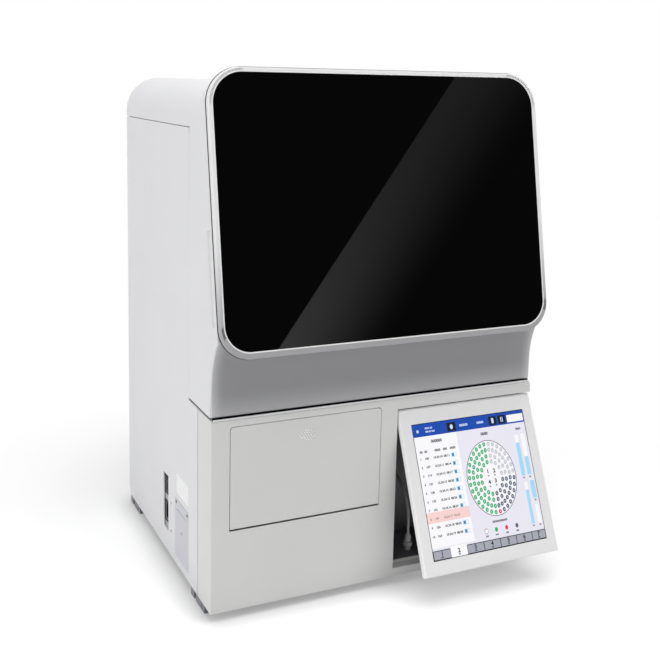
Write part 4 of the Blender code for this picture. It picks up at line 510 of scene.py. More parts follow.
# Side and rear panels
# Flat panels of painted plastic close the body between the fascia and the back. The left one has a
# recess for the mains plate, a bare rating plate and a screwed service cover.
PANEL_EDGE = 0.0010
SIDE_EDGE = 0.0015
REBATE_WIDTH = 0.0017
REBATE_DEPTH = 0.0022
SCREW_HEIGHT = 0.0011
SCREW_WELL = 0.0007
SCREW_DRIVE = 0.0009
HEAD_FLAT_SHARE = 0.3
HEAD_ROUND_SHARE = 0.6
DRIVE_LENGTH_SHARE = 0.62
PLATE_SCREW_RADIUS = 0.0021
PLATE_SCREW_PLACES = ((0.0075, 0.112), (0.0075, 0.061))
PLATE_WELL_DEPTH = 0.00165
PLATE_SCREW_DEPTH = 0.00143
COVER_SCREW_RADIUS = 0.0031
COVER_SCREW_INSET = 0.0062
COVER_WELL_DEPTH = 0.00143
COVER_SCREW_DEPTH = 0.00132
SLOT_LENGTH = 0.046
SLOT_WIDTH = 0.0022
SLOT_DROP = 0.017
SLOT_DEPTH = 0.0011
RIVET_RADIUS = 0.0028

# Painted service sheet: a cool grey with a faint metal sheen, in patches 40 mm across
SERVICE_METAL = finish(
    "painted_service_sheet", ("#d3d3da", "#cdcdd5"), (0.36, 0.50), patch=0.040, grain=0.0014, height=0.00003,
    Metallic=0.25,
)
# Bare label film: whiter and glossier than the paint round it, in patches 20 mm across
LABEL_FILM = finish(
    "bare_label_film", ("#fdfdfd", "#f9f9fa"), (0.22, 0.34), patch=0.020, grain=0.0010, height=0.00001
)
# Black oxide steel: a dark screw head that still glints, in patches 6 mm across
BLACK_SCREW = finish(
    "black_oxide_steel", ("#35353a", "#2c2c31"), (0.30, 0.44), patch=0.006, grain=0.0010, height=0.00001,
    Metallic=0.8,
)


def pan_screw(name, radius, place):
    """A pan-head screw on a face towards -X, with a cross recess."""
    place = Vector(place)
    front = place - Vector((SCREW_HEIGHT, 0, 0))
    head = drum(name, radius, place, front, 24)
    bpy.ops.object.mode_set(mode="EDIT")
    pick(head, "FACE", lambda centre, normal: normal.x < -FACING)
    bpy.ops.mesh.inset(thickness=radius * HEAD_FLAT_SHARE)
    bpy.ops.object.mode_set(mode="OBJECT")
    round_off(head, SCREW_HEIGHT * HEAD_ROUND_SHARE, 3)
    long = radius * DRIVE_LENGTH_SHARE
    blades = []
    for half in ((SCREW_HEIGHT, long, SCREW_DRIVE / 2), (SCREW_HEIGHT, SCREW_DRIVE / 2, long)):
        blades.append(slab("drive", front - Vector(half), front + Vector(half)))
    return smooth(carve(head, blades))


def screw_well(radius, y, z, depth):
    """A cutter for the round well that a screw's head sinks into, from the left."""
    outside = cad_low.x - SCREW_HEIGHT
    return drum("well", radius + SCREW_WELL, (outside, y, z), (cad_low.x + depth, y, z))


def side_panel(node, outward, wells):
    """A side panel with rounded edges, a rebate along its front edge, and wells for screws."""
    low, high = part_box(node)
    label_low, label_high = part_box("label_plate")
    panel = casting(node, node + "_finished")
    round_some(
        panel,
        SIDE_EDGE,
        2,
        lambda place: not (
            label_low.y - SIDE_EDGE < place.y < label_high.y + SIDE_EDGE
            and label_low.z - SIDE_EDGE < place.z < label_high.z + SIDE_EDGE
        ),
    )
    face = high.x if outward > 0 else low.x
    rebate = slab(
        "rebate",
        (face - REBATE_DEPTH, low.y - REBATE_WIDTH, low.z - REBATE_WIDTH),
        (face + REBATE_DEPTH, low.y + REBATE_WIDTH, high.z + REBATE_WIDTH),
    )
    return hand_over(smooth(carve(panel, [rebate] + wells)), "base", "white_plastic", WHITE_PLASTIC, node)


wells = [screw_well(PLATE_SCREW_RADIUS, y, z, PLATE_WELL_DEPTH) for y, z in PLATE_SCREW_PLACES]
side_panel("left_side_panel", -1, wells)
side_panel("right_side_panel", 1, [])
dress("rear_panel", "base", "white_plastic", WHITE_PLASTIC, PANEL_EDGE)
for number, (y, z) in enumerate(PLATE_SCREW_PLACES):
    place = (cad_low.x + PLATE_SCREW_DEPTH, y, z)
    screw = pan_screw("plate_screw_%d" % (number + 1), PLATE_SCREW_RADIUS, place)
    hand_over(screw, "base", "bright_steel", BLACK_SCREW)
dress("label_plate", "base", "white_plastic", LABEL_FILM, SHEET_EDGE)

cover_low, cover_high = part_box("service_cover")
cover_y = (cover_low.y + cover_high.y) / 2
cover_z = (cover_low.z + cover_high.z) / 2
screw_z = cover_high.z - COVER_SCREW_INSET
screw_ys = (cover_low.y + COVER_SCREW_INSET, cover_high.y - COVER_SCREW_INSET)
slot_z = cover_high.z - SLOT_DROP
cutters = [screw_well(COVER_SCREW_RADIUS, y, screw_z, COVER_WELL_DEPTH) for y in screw_ys]
cutters.append(
    slab(
        "slot",
        (cad_low.x - SLOT_DEPTH, cover_y - SLOT_LENGTH / 2, slot_z - SLOT_WIDTH / 2),
        (cad_low.x + SLOT_DEPTH, cover_y + SLOT_LENGTH / 2, slot_z + SLOT_WIDTH / 2),
    )
)
cutters.append(screw_well(RIVET_RADIUS, cover_y, cover_z, SLOT_DEPTH))
cover = round_off(casting("service_cover", "service_cover_finished"), SHEET_EDGE)
hand_over(smooth(carve(cover, cutters)), "base", "sheet_steel", SERVICE_METAL, "service_cover")
for name, y in zip(("front", "rear"), screw_ys):
    place = (cad_low.x + COVER_SCREW_DEPTH, y, screw_z)
    screw = pan_screw("service_screw_" + name, COVER_SCREW_RADIUS, place)
    hand_over(screw, "base", "bright_steel", BLACK_SCREW)
rivet = pan_screw("service_quarter_turn", RIVET_RADIUS, (cad_low.x + SLOT_DEPTH, cover_y, cover_z))
hand_over(rivet, "base", "sheet_steel", SERVICE_METAL)


# Mains plate
# A grey moulded plate behind the left panel's recess holds the snap-in rocker switch above the
# three-pin inlet. Both are black nylon, with a flange round them that clips over the plate.
FLANGE_WIDTH = 0.0042
FLANGE_SIDE = 0.0018
FLANGE_HEIGHT = 0.0014
FLANGE_CLEAR = 0.0009

# Moulded black nylon: a deep, even black with little shine, in patches 12 mm across
BLACK_NYLON = finish(
    "moulded_black_nylon", ("#0d0d0e", "#121214"), (0.48, 0.62), patch=0.012, grain=0.0010, height=0.00002,
    Specular_IOR_Level=0.3,
)
dress("switch_plate", "base", "grey_plastic", GREY_PLASTIC, SHEET_EDGE)
dress("power_rocker", "rocker", "dark_plastic", BLACK_NYLON, SHEET_EDGE)
dress("power_inlet", "base", "dark_plastic", BLACK_NYLON, SHEET_EDGE)
plate_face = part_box("switch_plate")[0].x
for node in ("power_rocker", "power_inlet"):
    low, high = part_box(node)
    flange = slab(
        node + "_flange",
        (plate_face - FLANGE_HEIGHT, low.y - FLANGE_SIDE, low.z - FLANGE_WIDTH),
        (plate_face - SHEET_EDGE / 8, high.y + FLANGE_SIDE, high.z + FLANGE_WIDTH),
    )
    opening = slab(
        "opening",
        (plate_face - FLANGE_HEIGHT * 2, low.y - FLANGE_CLEAR, low.z - FLANGE_CLEAR),
        (plate_face + FLANGE_HEIGHT, high.y + FLANGE_CLEAR, high.z + FLANGE_CLEAR),
    )
    hand_over(round_off(carve(flange, [opening]), SHEET_EDGE), "base", "dark_plastic", BLACK_NYLON)


# Front fascia and door
# The fascia is one moulding that wraps round to both sides, with a finger gap under the door. The
# door turns on a pin along its rounded lower edge, and raised dots show where to press its latch.
FASCIA_TOP_EDGE = 0.0026
DOOR_GAP = 0.0024
DOOR_GAP_DEPTH = 0.0050
DOT_RADIUS = 0.0015
DOT_RISE = 0.0020
DOT_PITCH = 0.0044
DOT_ROW_PITCH = 0.0036
DOT_PATCH = (0.0158, 0.0084)
DOT_DROP = 0.0275

# Front paint: a neutral off-white, in patches 120 mm across. It is a little greyer than the panels,
# partly its own tone and partly painted shade, as the front gets less light than the sides
FRONT_PAINT_AND_SHADE = finish(
    "painted_moulded_front_and_shade", ("#e4e4e3", "#dededd"), (0.36, 0.50), patch=0.120, grain=0.0014, height=0.00003
)
# Moulded bright white plastic: nearly pure white and glossier than the paint, in patches 10 mm across.
# The bezel is this white; on the door's dots and the window's bead it is a painted highlight.
BRIGHT_WHITE_AND_HIGHLIGHT = finish(
    "bright_white_plastic_and_painted_highlight", ("#fafafa", "#f6f6f6"), (0.30, 0.42), patch=0.010, grain=0.0010,
    height=0.00001,
)
fascia_low, fascia_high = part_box("front_fascia")
door_low, door_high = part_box("flap_door")
fascia = casting("front_fascia", "front_fascia_finished")
finger_gap = slab(
    "finger_gap",
    (door_low.x - SHEET_EDGE, fascia_low.y - PANEL_EDGE, door_low.z - DOOR_GAP),
    (door_high.x + SHEET_EDGE, fascia_low.y + DOOR_GAP_DEPTH, door_low.z + SHEET_EDGE),
)
carve(fascia, [finger_gap])
round_some(
    fascia,
    FASCIA_TOP_EDGE,
    4,
    lambda place: place.z > fascia_high.z - PANEL_EDGE / 4 and place.y < fascia_low.y + PANEL_EDGE / 4,
)
# The fascia and the door take the front paint, whose greyer tone is partly painted shade.
hand_over(round_off(fascia, PANEL_EDGE), "base", "white_plastic", FRONT_PAINT_AND_SHADE, "front_fascia")
dress("flap_door", "flap", "grey_plastic", FRONT_PAINT_AND_SHADE, SHEET_EDGE)
door_x = (door_low.x + door_high.x) / 2
dots = []
rows = int(DOT_PATCH[1] / DOT_ROW_PITCH)
for row in range(-rows, rows + 1):
    across = DOT_PATCH[0] * math.sqrt(max(1 - (row * DOT_ROW_PITCH / DOT_PATCH[1]) ** 2, 0))
    shift = DOT_PITCH / 2 if row % 2 else 0
    count = int((across - shift) / DOT_PITCH)
    for column in range(-count - (1 if shift else 0), count + 1):
        dot_z = door_high.z - DOT_DROP + row * DOT_ROW_PITCH
        place = (door_x + column * DOT_PITCH + shift, door_low.y, dot_z)
        bpy.ops.object.select_all(action="DESELECT")
        bpy.ops.mesh.primitive_uv_sphere_add(
            segments=12, ring_count=6, radius=DOT_RADIUS, location=place, rotation=(math.pi / 2, 0, 0)
        )
        dot = bpy.context.active_object
        dot.scale = (1, 1, DOT_RISE / DOT_RADIUS)
        bpy.ops.object.transform_apply(location=True, rotation=True, scale=True)
        dots.append(dot)
# The dots are whiter than the door as a painted highlight on their raised tops.
hand_over(smooth(joined("door_dots", dots), 60), "flap", "grey_plastic", BRIGHT_WHITE_AND_HIGHLIGHT)


# Compartment behind the door
# A black liner holds the solid waste bin and the push latch. The ground steel pins of the door, the
# hood and the screen are alike, so all of them are finished here.
dress("compartment_liner", "base", "dark_plastic", BLACK_PLASTIC, SHEET_EDGE)
dress("waste_bin", "base", "grey_plastic", GREY_PLASTIC, SHEET_EDGE)
dress("flap_latch", "base", "grey_plastic", GREY_PLASTIC, SHEET_EDGE)
for node in ("flap_pin", "hinge_pin_left", "hinge_pin_right", "screen_hinge_pin"):
    dress(node, "base", "bright_steel", BRIGHT_STEEL, SHEET_EDGE / 2, 1)


# Pocket behind the screen
# A dark grey liner, open to the front, with the pale connector of the wash fluid and its tube, the
# catch that holds the screen shut, and the bracket that carries the screen's pin.

# Moulded liner plastic: a dark neutral grey with a soft sheen, in patches 30 mm across
LINER_PLASTIC = finish(
    "moulded_grey_liner_plastic", ("#6e6e71", "#646467"), (0.34, 0.50), patch=0.030, grain=0.0012,
    height=0.00003,
)
# Natural polypropylene: undyed, milky and a little glossy, in patches 10 mm across
NATURAL_PLASTIC = finish(
    "natural_polypropylene", ("#b8b8b6", "#acacaa"), (0.30, 0.44), patch=0.010, grain=0.0010, height=0.00002
)
dress("pocket_liner", "base", "dark_plastic", LINER_PLASTIC, SHEET_EDGE)
dress("wash_fitting", "base", "white_plastic", NATURAL_PLASTIC, SHEET_EDGE / 2, 1)
dress("screen_catch", "base", "grey_plastic", GREY_PLASTIC, SHEET_EDGE)
dress("screen_hinge_bracket", "base", "sheet_steel", ZINC_STEEL, SHEET_EDGE)


# Hood
# One large moulding makes the top, the cheeks, the chin and the collar behind the window. It turns on
# two steel hinges at the back of the body, and shuts above a white strip with a black foam strip behind
# it, which is painted shade in the seam under the chin.
CHIN_EDGE = 0.0034
CHIN_REACH = 0.010
CHIN_RUN = 0.060
CHIN_DEPTH = 0.030
# The chin's grey is sprayed paint and painted shade together; the side and foot fades lighten it towards the
# chin's side edges and foot as painted shade.
CHIN_GREY_AND_SHADE = "#9c9c9e"
CHIN_SIDE_SHADE_FADE = (0.022, -0.016)
CHIN_FOOT_SHADE_FADE = (0.036, -0.062)
CHIN_TOP_FADE = (0.020, 0.042)
SHOULDER_SIZE = 0.110
SHADE_STRIP_SETBACK = 0.0034
SHADE_STRIP_THICKNESS = 0.0030
SHADE_STRIP_CLEAR = 0.0004
SEAT_HEIGHT = 0.0016

# Hood paint: the panels' white with a satin sheen, in patches 120 mm across. The chin is masked along
# its edges and sprayed silver-grey, partly as paint and partly as painted shade under the window's
# overhang, lighter towards its side edges and its foot.
HOOD_PAINT_AND_CHIN_SHADE = finish(
    "painted_hood_moulding_and_chin_shade", ("#ececee", "#e6e6e8"), (0.36, 0.50), patch=0.120, grain=0.0014, height=0.00003
)
# Black foam, as painted shade in the seam under the hood: takes up nearly all light, with cells drawn
# 1.2 mm coarse, in patches 6 mm across
SEAM_SHADE_FOAM = finish(
    "black_foam_seam_shade", ("#08080a", "#0c0c0e"), (0.80, 0.95), patch=0.006, grain=0.0012, height=0.00010,
    Specular_IOR_Level=0.1,
)


def tint_and_shade_over(paint, colour, *fades):
    """Lays a second colour of tint and painted shade over a paint where all its fades allow.

    A fade names a measure, side for the distance from the middle plane, depth or height, and gives
    where the colour is full and where it is gone.
    """
    tree = paint.node_tree
    base_colour = tree.nodes["Principled BSDF"].inputs["Base Color"]
    axes = add_node(tree, "SeparateXYZ", {0: add_node(tree, "TexCoord").outputs["Object"]}).outputs
    side = add_node(tree, "Math", {0: axes["X"]}, operation="ABSOLUTE").outputs["Value"]
    measures = {"side": side, "depth": axes["Y"], "height": axes["Z"]}
    covered = None
    for measure, full, gone in fades:
        ends = {"Value": measures[measure], "From Min": full, "From Max": gone, "To Min": 1.0, "To Max": 0.0}
        fade = add_node(tree, "MapRange", ends, interpolation_type="SMOOTHSTEP").outputs["Result"]
        if covered:
            fade = add_node(tree, "Math", {0: covered, 1: fade}, operation="MULTIPLY").outputs["Value"]
        covered = fade
    under = base_colour.links[0].from_socket
    over = add_node(tree, "Mix", {0: covered, 6: under, 7: linear(colour)}, data_type="RGBA")
    tree.links.new(over.outputs[2], base_colour)


frame_low, frame_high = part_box("window_frame")
frame_y = (frame_low.y + frame_high.y) / 2
hood_low, hood_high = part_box("hood_shell")
hood = casting("hood_shell", "hood_moulding")
round_some(
    hood,
    CHIN_EDGE,
    4,
    lambda place: abs(place.x) > hood_high.x - SHEET_EDGE / 4
    and hood_low.z + SHEET_EDGE < place.z < frame_low.z + CHIN_REACH
    and place.y < frame_low.y + CHIN_RUN,
)
round_some(
    hood,
    PANEL_EDGE,
    2,
    lambda place: place.y > frame_high.y + CHIN_REACH or place.z < hood_high.z - SHOULDER_SIZE,
)
# Silver-grey paint on the chin, darkened as painted shade under the window, lighter towards its edges and
# foot.
tint_and_shade_over(
    HOOD_PAINT_AND_CHIN_SHADE,
    CHIN_GREY_AND_SHADE,
    ("side", hood_high.x - CHIN_EDGE, hood_high.x - CHIN_EDGE / 6),
    ("side", hood_high.x - CHIN_SIDE_SHADE_FADE[0], hood_high.x - CHIN_SIDE_SHADE_FADE[1]),
    ("height", hood_low.z + CHIN_FOOT_SHADE_FADE[0], hood_low.z + CHIN_FOOT_SHADE_FADE[1]),
    ("depth", frame_y + CHIN_DEPTH, frame_y + CHIN_DEPTH + CHIN_EDGE),
    ("height", frame_low.z + CHIN_TOP_FADE[0], frame_low.z + CHIN_TOP_FADE[1]),
)
hand_over(smooth(hood), "hood", "white_plastic", HOOD_PAINT_AND_CHIN_SHADE, "hood_shell")
# The black foam strip fills the seam under the chin as painted shade.
shade_strip_front = fascia_low.y + SHADE_STRIP_SETBACK
shade_strip_half = hood_high.x - SHADE_STRIP_SETBACK
shade_strip = slab(
    "hood_seam_shade_strip",
    (-shade_strip_half, shade_strip_front, fascia_high.z - SHADE_STRIP_CLEAR),
    (shade_strip_half, shade_strip_front + SHADE_STRIP_THICKNESS, hood_low.z - SHADE_STRIP_CLEAR),
)
hand_over(round_off(shade_strip, SHADE_STRIP_CLEAR), "base", "rubber", SEAM_SHADE_FOAM)
seat = slab(
    "hood_seat",
    (-shade_strip_half, fascia_low.y + FASCIA_TOP_EDGE / 2, fascia_high.z - FASCIA_TOP_EDGE / 2),
    (shade_strip_half, shade_strip_front - SHADE_STRIP_CLEAR, fascia_high.z + SEAT_HEIGHT),
)
hand_over(round_off(seat, SHADE_STRIP_CLEAR), "base", "white_plastic", WHITE_PLASTIC)
for side_name in ("left", "right"):
    dress("hinge_fixed_leaf_" + side_name, "base", "bright_steel", BRIGHT_STEEL, SHEET_EDGE)
    dress("hinge_hood_leaf_" + side_name, "hood", "bright_steel", BRIGHT_STEEL, SHEET_EDGE)


# Window frame
# A satin-painted moulding, rounded along its outer edge, clamps the glass to the hood's collar over a
# rubber gasket, whose black edge outside the frame is a painted shadow line. Its white turns silver-grey
# towards the lower rim as painted shade, and a bright bead along its inner edge is a painted highlight.
# Its lower rim is the widest.
FRAME_DEPTH = 0.010
TOP_RADIUS = 0.057
BOTTOM_RADIUS = 0.049
RIM = 0.009
LOWER_RIM = 0.012
OUTER_ROUND = 0.0028
GASKET_DEPTH = 0.0016
# The gasket shows this far outside the frame as a black painted shadow line.
GASKET_SHADOW_LINE_WIDTH = 0.0009
BEAD_WIDTH = 0.0021
BEAD_ROUND = 0.0006
# Painted shade: the frame's white turns silver-grey from 200 mm above its bottom down to the lower rim.
RIM_SHADE_GREY = "#adadaf"
RIM_SHADE_FADE = (0.010, 0.200)
# A painted shadow line, grey within 1.6 to 3 mm of the frame's top edge.
TOP_SHADOW_LINE_GREY = "#8c8c8e"
TOP_SHADOW_LINE_FADE = (0.0016, 0.0030)
CORNER_SEGMENTS = 24

# Satin frame paint: white, in patches 80 mm across. The thin grey line along its top edge is a painted
# shadow line, and the silver-grey lower down is painted shade.
FRAME_PAINT_AND_SHADE = finish(
    "satin_frame_paint_and_shade", ("#f4f4f4", "#eeeeef"), (0.30, 0.42), patch=0.080, grain=0.0010, height=0.00001
)
# Painted shade that greys the lower part of the frame.
tint_and_shade_over(FRAME_PAINT_AND_SHADE, RIM_SHADE_GREY, ("height", frame_low.z + RIM_SHADE_FADE[0], frame_low.z + RIM_SHADE_FADE[1]))
# A painted shadow line along the frame's top edge.
tint_and_shade_over(FRAME_PAINT_AND_SHADE, TOP_SHADOW_LINE_GREY, ("height", frame_high.z - TOP_SHADOW_LINE_FADE[0], frame_high.z - TOP_SHADOW_LINE_FADE[1]))

glass_faces = [face for face in frame["nodes"]["window_glass"].data.polygons if face.normal.y < 0]
window_out = max(glass_faces, key=lambda face: face.area).normal.copy()
window_up = Vector((1, 0, 0)).cross(window_out) * -1
heights = [corner.co.dot(window_up) for corner in frame["nodes"]["window_frame"].data.vertices]
depths = [corner.co.dot(window_out) for corner in frame["nodes"]["window_frame"].data.vertices]
slope = max(heights) - min(heights)
width = frame_high.x - frame_low.x
window_centre = window_up * (max(heights) + min(heights)) / 2 + window_out * max(depths)


def stand(place, right, up, out):
    """The matrix that puts a piece drawn flat, with X right and Y up, at a place in space."""
    return Matrix.Translation(place) @ Matrix((right, up, out)).transposed().to_4x4()


def rim_distance(place):
    """How far a point of the window's plane lies inside the frame's outer edge."""
    radius = TOP_RADIUS if place.y > 0 else BOTTOM_RADIUS
    across = abs(place.x) - width / 2 + radius
    along = abs(place.y) - slope / 2 + radius
    return radius - min(max(across, along), 0) - math.hypot(max(across, 0), max(along, 0))


def window_sheet(name, insets, kept, rise, thickness):
    """A ring or pane with the window's outline, between two distances from the frame's outer edge.

    The insets draw the outlines inside the outer one, and the rise widens the lower rim.
    """
    bpy.ops.object.select_all(action="DESELECT")
    bpy.ops.mesh.primitive_plane_add(size=1)
    sheet = bpy.context.active_object
    sheet.name = name
    sheet.scale = (width, slope, 1)
    bpy.ops.object.transform_apply(location=True, rotation=True, scale=True)
    bpy.ops.object.mode_set(mode="EDIT")
    pick(sheet, "VERT", lambda place, normal: place.y > 0)
    bpy.ops.mesh.bevel(offset=TOP_RADIUS, segments=CORNER_SEGMENTS, affect="VERTICES")
    pick(sheet, "VERT", lambda place, normal: place.y < BOTTOM_RADIUS - slope / 2 - RIM)
    bpy.ops.mesh.bevel(offset=BOTTOM_RADIUS, segments=CORNER_SEGMENTS, affect="VERTICES")
    bpy.ops.mesh.select_all(action="SELECT")
    for inset in insets:
        bpy.ops.mesh.inset(thickness=inset)
    pick(sheet, "FACE", lambda place, normal: not kept[0] < rim_distance(place) < kept[1])
    bpy.ops.mesh.delete(type="FACE")
    pick(sheet, "VERT", lambda place, normal: place.y < 0 and rim_distance(place) > RIM / 2)
    bpy.ops.transform.translate(value=(0, rise, 0))
    bpy.ops.object.mode_set(mode="OBJECT")
    alone(sheet)
    wall = sheet.modifiers.new("wall", "SOLIDIFY")
    wall.thickness = thickness
    wall.offset = -1
    bpy.ops.object.modifier_apply(modifier=wall.name)
    return sheet


def round_front(ring, round_width, segments, reach=math.inf):
    """Rounds the front edges of a ring that lie nearer to the frame's outer edge than a reach."""
    bpy.ops.object.mode_set(mode="EDIT")
    pick(ring, "EDGE", lambda place, run: place.z > -SHEET_EDGE and abs(rim_distance(place)) < reach)
    bpy.ops.mesh.bevel(offset=round_width, segments=segments, affect="EDGES")
    bpy.ops.object.mode_set(mode="OBJECT")


def in_window(sheet, shift=0):
    """Moves a ring or pane into the hood's window, and outwards by a shift."""
    place = stand(window_centre, (1, 0, 0), window_up, window_out)
    sheet.data.transform(place @ Matrix.Translation((0, 0, shift)))
    return sheet


rim_rise = LOWER_RIM - RIM
bead_start = RIM - BEAD_WIDTH
face_depth = FRAME_DEPTH - GASKET_DEPTH
insets = (GASKET_SHADOW_LINE_WIDTH, bead_start - GASKET_SHADOW_LINE_WIDTH)
ring = window_sheet("window_frame_moulding", insets, (GASKET_SHADOW_LINE_WIDTH, bead_start), rim_rise, face_depth)
round_front(ring, OUTER_ROUND, 5, RIM / 2)
hand_over(smooth(in_window(ring)), "hood", "silver_plastic", FRAME_PAINT_AND_SHADE, "window_frame")
# The bead's bright white is a painted highlight along the frame's inner edge.
bead = window_sheet("window_bead", (bead_start, BEAD_WIDTH), (bead_start, RIM), rim_rise, face_depth)
round_front(bead, BEAD_ROUND, 4)
hand_over(smooth(in_window(bead)), "hood", "silver_plastic", BRIGHT_WHITE_AND_HIGHLIGHT)
# The black rubber gasket shows past the frame's outer edge as a painted shadow line in the gap.
gasket_shadow_line = window_sheet("window_gasket_shadow_line", (RIM,), (0, RIM), 0, GASKET_DEPTH)
hand_over(smooth(in_window(gasket_shadow_line, -face_depth)), "hood", "rubber", RUBBER)


# Window glass
# A sheet of float glass, printed black all over its back, with ground edges.
GLASS_THICKNESS = 0.005
GLASS_RECESS = 0.001
GLASS_EDGE = 0.0003

# Black-backed float glass: a flat black mirror in patches 150 mm across, with a gloss that is a little
# uneven over 40 mm
BLACK_GLASS = finish(
    "black_backed_float_glass", ("#020203", "#030304"), (0.010, 0.020), patch=0.150, grain=0.0400,
    height=0.0, Specular_IOR_Level=0.5,
)
glass = window_sheet("window_glass_sheet", (RIM,), (RIM, math.inf), rim_rise, GLASS_THICKNESS)
ground = round_off(in_window(glass, -GLASS_RECESS), GLASS_EDGE)
hand_over(ground, "hood", "black_glass", BLACK_GLASS, "window_glass")


# Touch screen
# A bright white bezel with a rounded edge holds the display, with a black moulded cover behind it. It
# hangs on a hinge under the strip, and is tilted out at rest.
BEZEL_EDGE = 0.0022

# Display cover glass: flat and black with a clear reflection, uneven over 20 mm, in 80 mm patches
DISPLAY_GLASS = finish(
    "display_cover_glass", ("#0c0d10", "#0e0f12"), (0.05, 0.09), patch=0.080, grain=0.0200, height=0.0
)
hinge = next(joint for joint in frame["joints"] if joint["name"] == "screen_hinge")
screen_axis = Vector(hinge["pos_m"])
tilt_out = (
    Matrix.Translation(screen_axis)
    @ Matrix.Rotation(math.radians(hinge["range_deg"][0]), 4, "X")
    @ Matrix.Translation(-screen_axis)
)
tilt_in = tilt_out.inverted()
shut = [tilt_in @ corner.co for corner in frame["nodes"]["display_panel"].data.vertices]
display_left = min(corner.x for corner in shut)
display_width = max(corner.x for corner in shut) - display_left
display_top = max(corner.z for corner in shut)
display_height = display_top - min(corner.z for corner in shut)
display_face = min(corner.y for corner in shut)
bezel = casting("screen_bezel", "screen_bezel_finished")
round_some(
    bezel,
    BEZEL_EDGE,
    4,
    lambda place: abs((tilt_in @ place).y - display_face) < BEZEL_EDGE
    and not (
        display_left - BEZEL_EDGE < place.x < display_left + display_width + BEZEL_EDGE
        and display_top - display_height - BEZEL_EDGE < (tilt_in @ place).z < display_top + BEZEL_EDGE
    ),
)
hand_over(round_off(bezel, SHEET_EDGE), "screen", "white_plastic", BRIGHT_WHITE_AND_HIGHLIGHT, "screen_bezel")
dress("screen_back_cover", "screen", "dark_plastic", BLACK_PLASTIC, SHEET_EDGE)
dress("display_panel", "screen", "display_glass", DISPLAY_GLASS, SHEET_EDGE / 2)


# Picture on the display
# The lit picture is drawn as thin tiles on the glass, each layer a little further out. It has a blue
# header, a numbered list, a map of the carousel's places, level bars and a row of tabs.
LAYER = 0.00008
GLOW_PATCH = 0.070
GLOW_DIP_SHARE = 0.95
TEXT_WEIGHT_SHARE = 0.034
TEXT_SIZE_SHARE = 1.4


def backlit(name, colour):
    """A lit area of the display, a little dimmer in patches 70 mm across, as a diffuser film leaves it."""
    made = bpy.data.materials.new("backlit_" + name)
    made.use_nodes = True
    tree = made.node_tree
    shader = tree.nodes["Principled BSDF"]
    place = add_node(tree, "TexCoord").outputs["Object"]
    cloud = add_node(tree, "TexNoise", {"Vector": place, "Scale": 1 / GLOW_PATCH, "Detail": 1.0})
    bright = linear(colour)
    dim = [part * GLOW_DIP_SHARE for part in bright[:3]] + [1]
    glow = add_node(tree, "Mix", {0: cloud.outputs["Fac"], 6: bright, 7: dim}, data_type="RGBA")
    tree.links.new(glow.outputs[2], shader.inputs["Emission Color"])
    shader.inputs["Emission Strength"].default_value = 1.0
    shader.inputs["Base Color"].default_value = linear("#0a0a0c")
    shader.inputs["Roughness"].default_value = 0.30
    return made


def tile(u_shares, v_shares, layer):
    """A rectangle of the picture, in shares of its width from the left and of its height from the top."""
    front = display_face - (layer + 1) * LAYER
    low = (display_left + u_shares[0] * display_width, front, display_top - v_shares[1] * display_height)
    high_x = display_left + u_shares[1] * display_width
    return slab("tile", low, (high_x, front + LAYER, display_top - v_shares[0] * display_height))


def oval(u_share, v_share, radius_shares, layer, sides=16):
    """An oval of the picture, with its two radii in shares, too."""
    x = display_left + u_share * display_width
    z = display_top - v_share * display_height
    made = drum("oval", 1.0, (0, 0, 0), (0, LAYER, 0), sides)
    u_radius, v_radius = radius_shares
    made.data.transform(Matrix.Diagonal((u_radius * display_width, 1, v_radius * display_height, 1)))
    made.data.transform(Matrix.Translation((x, display_face - (layer + 1) * LAYER, z)))
    return made


def figures(text, u_share, v_share, height_share, layer):
    """A line of figures, centred on a point of the picture."""
    bpy.ops.object.select_all(action="DESELECT")
    bpy.ops.object.text_add(rotation=(math.pi / 2, 0, 0))
    line = bpy.context.active_object
    line.data.body = text
    line.data.size = height_share * display_height * TEXT_SIZE_SHARE
    line.data.align_x = "CENTER"
    line.data.align_y = "CENTER"
    line.data.extrude = LAYER / 2
    line.data.offset = line.data.size * TEXT_WEIGHT_SHARE
    line.data.resolution_u = 2
    bpy.ops.object.convert(target="MESH")
    x = display_left + u_share * display_width
    z = display_top - v_share * display_height
    line.location = (x, display_face - (layer + 0.5) * LAYER, z)
    bpy.ops.object.transform_apply(location=True, rotation=True, scale=True)
    return line


def show(name, colour, parts):
    """Joins parts of the picture of one colour, and tilts them out with the screen."""
    made = joined("display_" + name, parts)
    made.data.transform(tilt_out)
    return hand_over(made, "screen", "display_glass", backlit(name, colour))


# Header with its buttons
EDGE_SHARE = 0.004
WHOLE_SHARES = (EDGE_SHARE, 1 - EDGE_SHARE)
HEADER_SHARES = (EDGE_SHARE, 0.098)
BUTTON_U_SHARES = ((0.300, 0.376), (0.675, 0.743), (0.760, 0.827))
BUTTON_V_SHARES = (0.022, 0.088)
show("background", "#ebe9f4", [tile(WHOLE_SHARES, WHOLE_SHARES, 0)])
show("header", "#1b4cb0", [tile(WHOLE_SHARES, HEADER_SHARES, 1)])
show("buttons", "#171c2c", [tile(u_shares, BUTTON_V_SHARES, 2) for u_shares in BUTTON_U_SHARES])

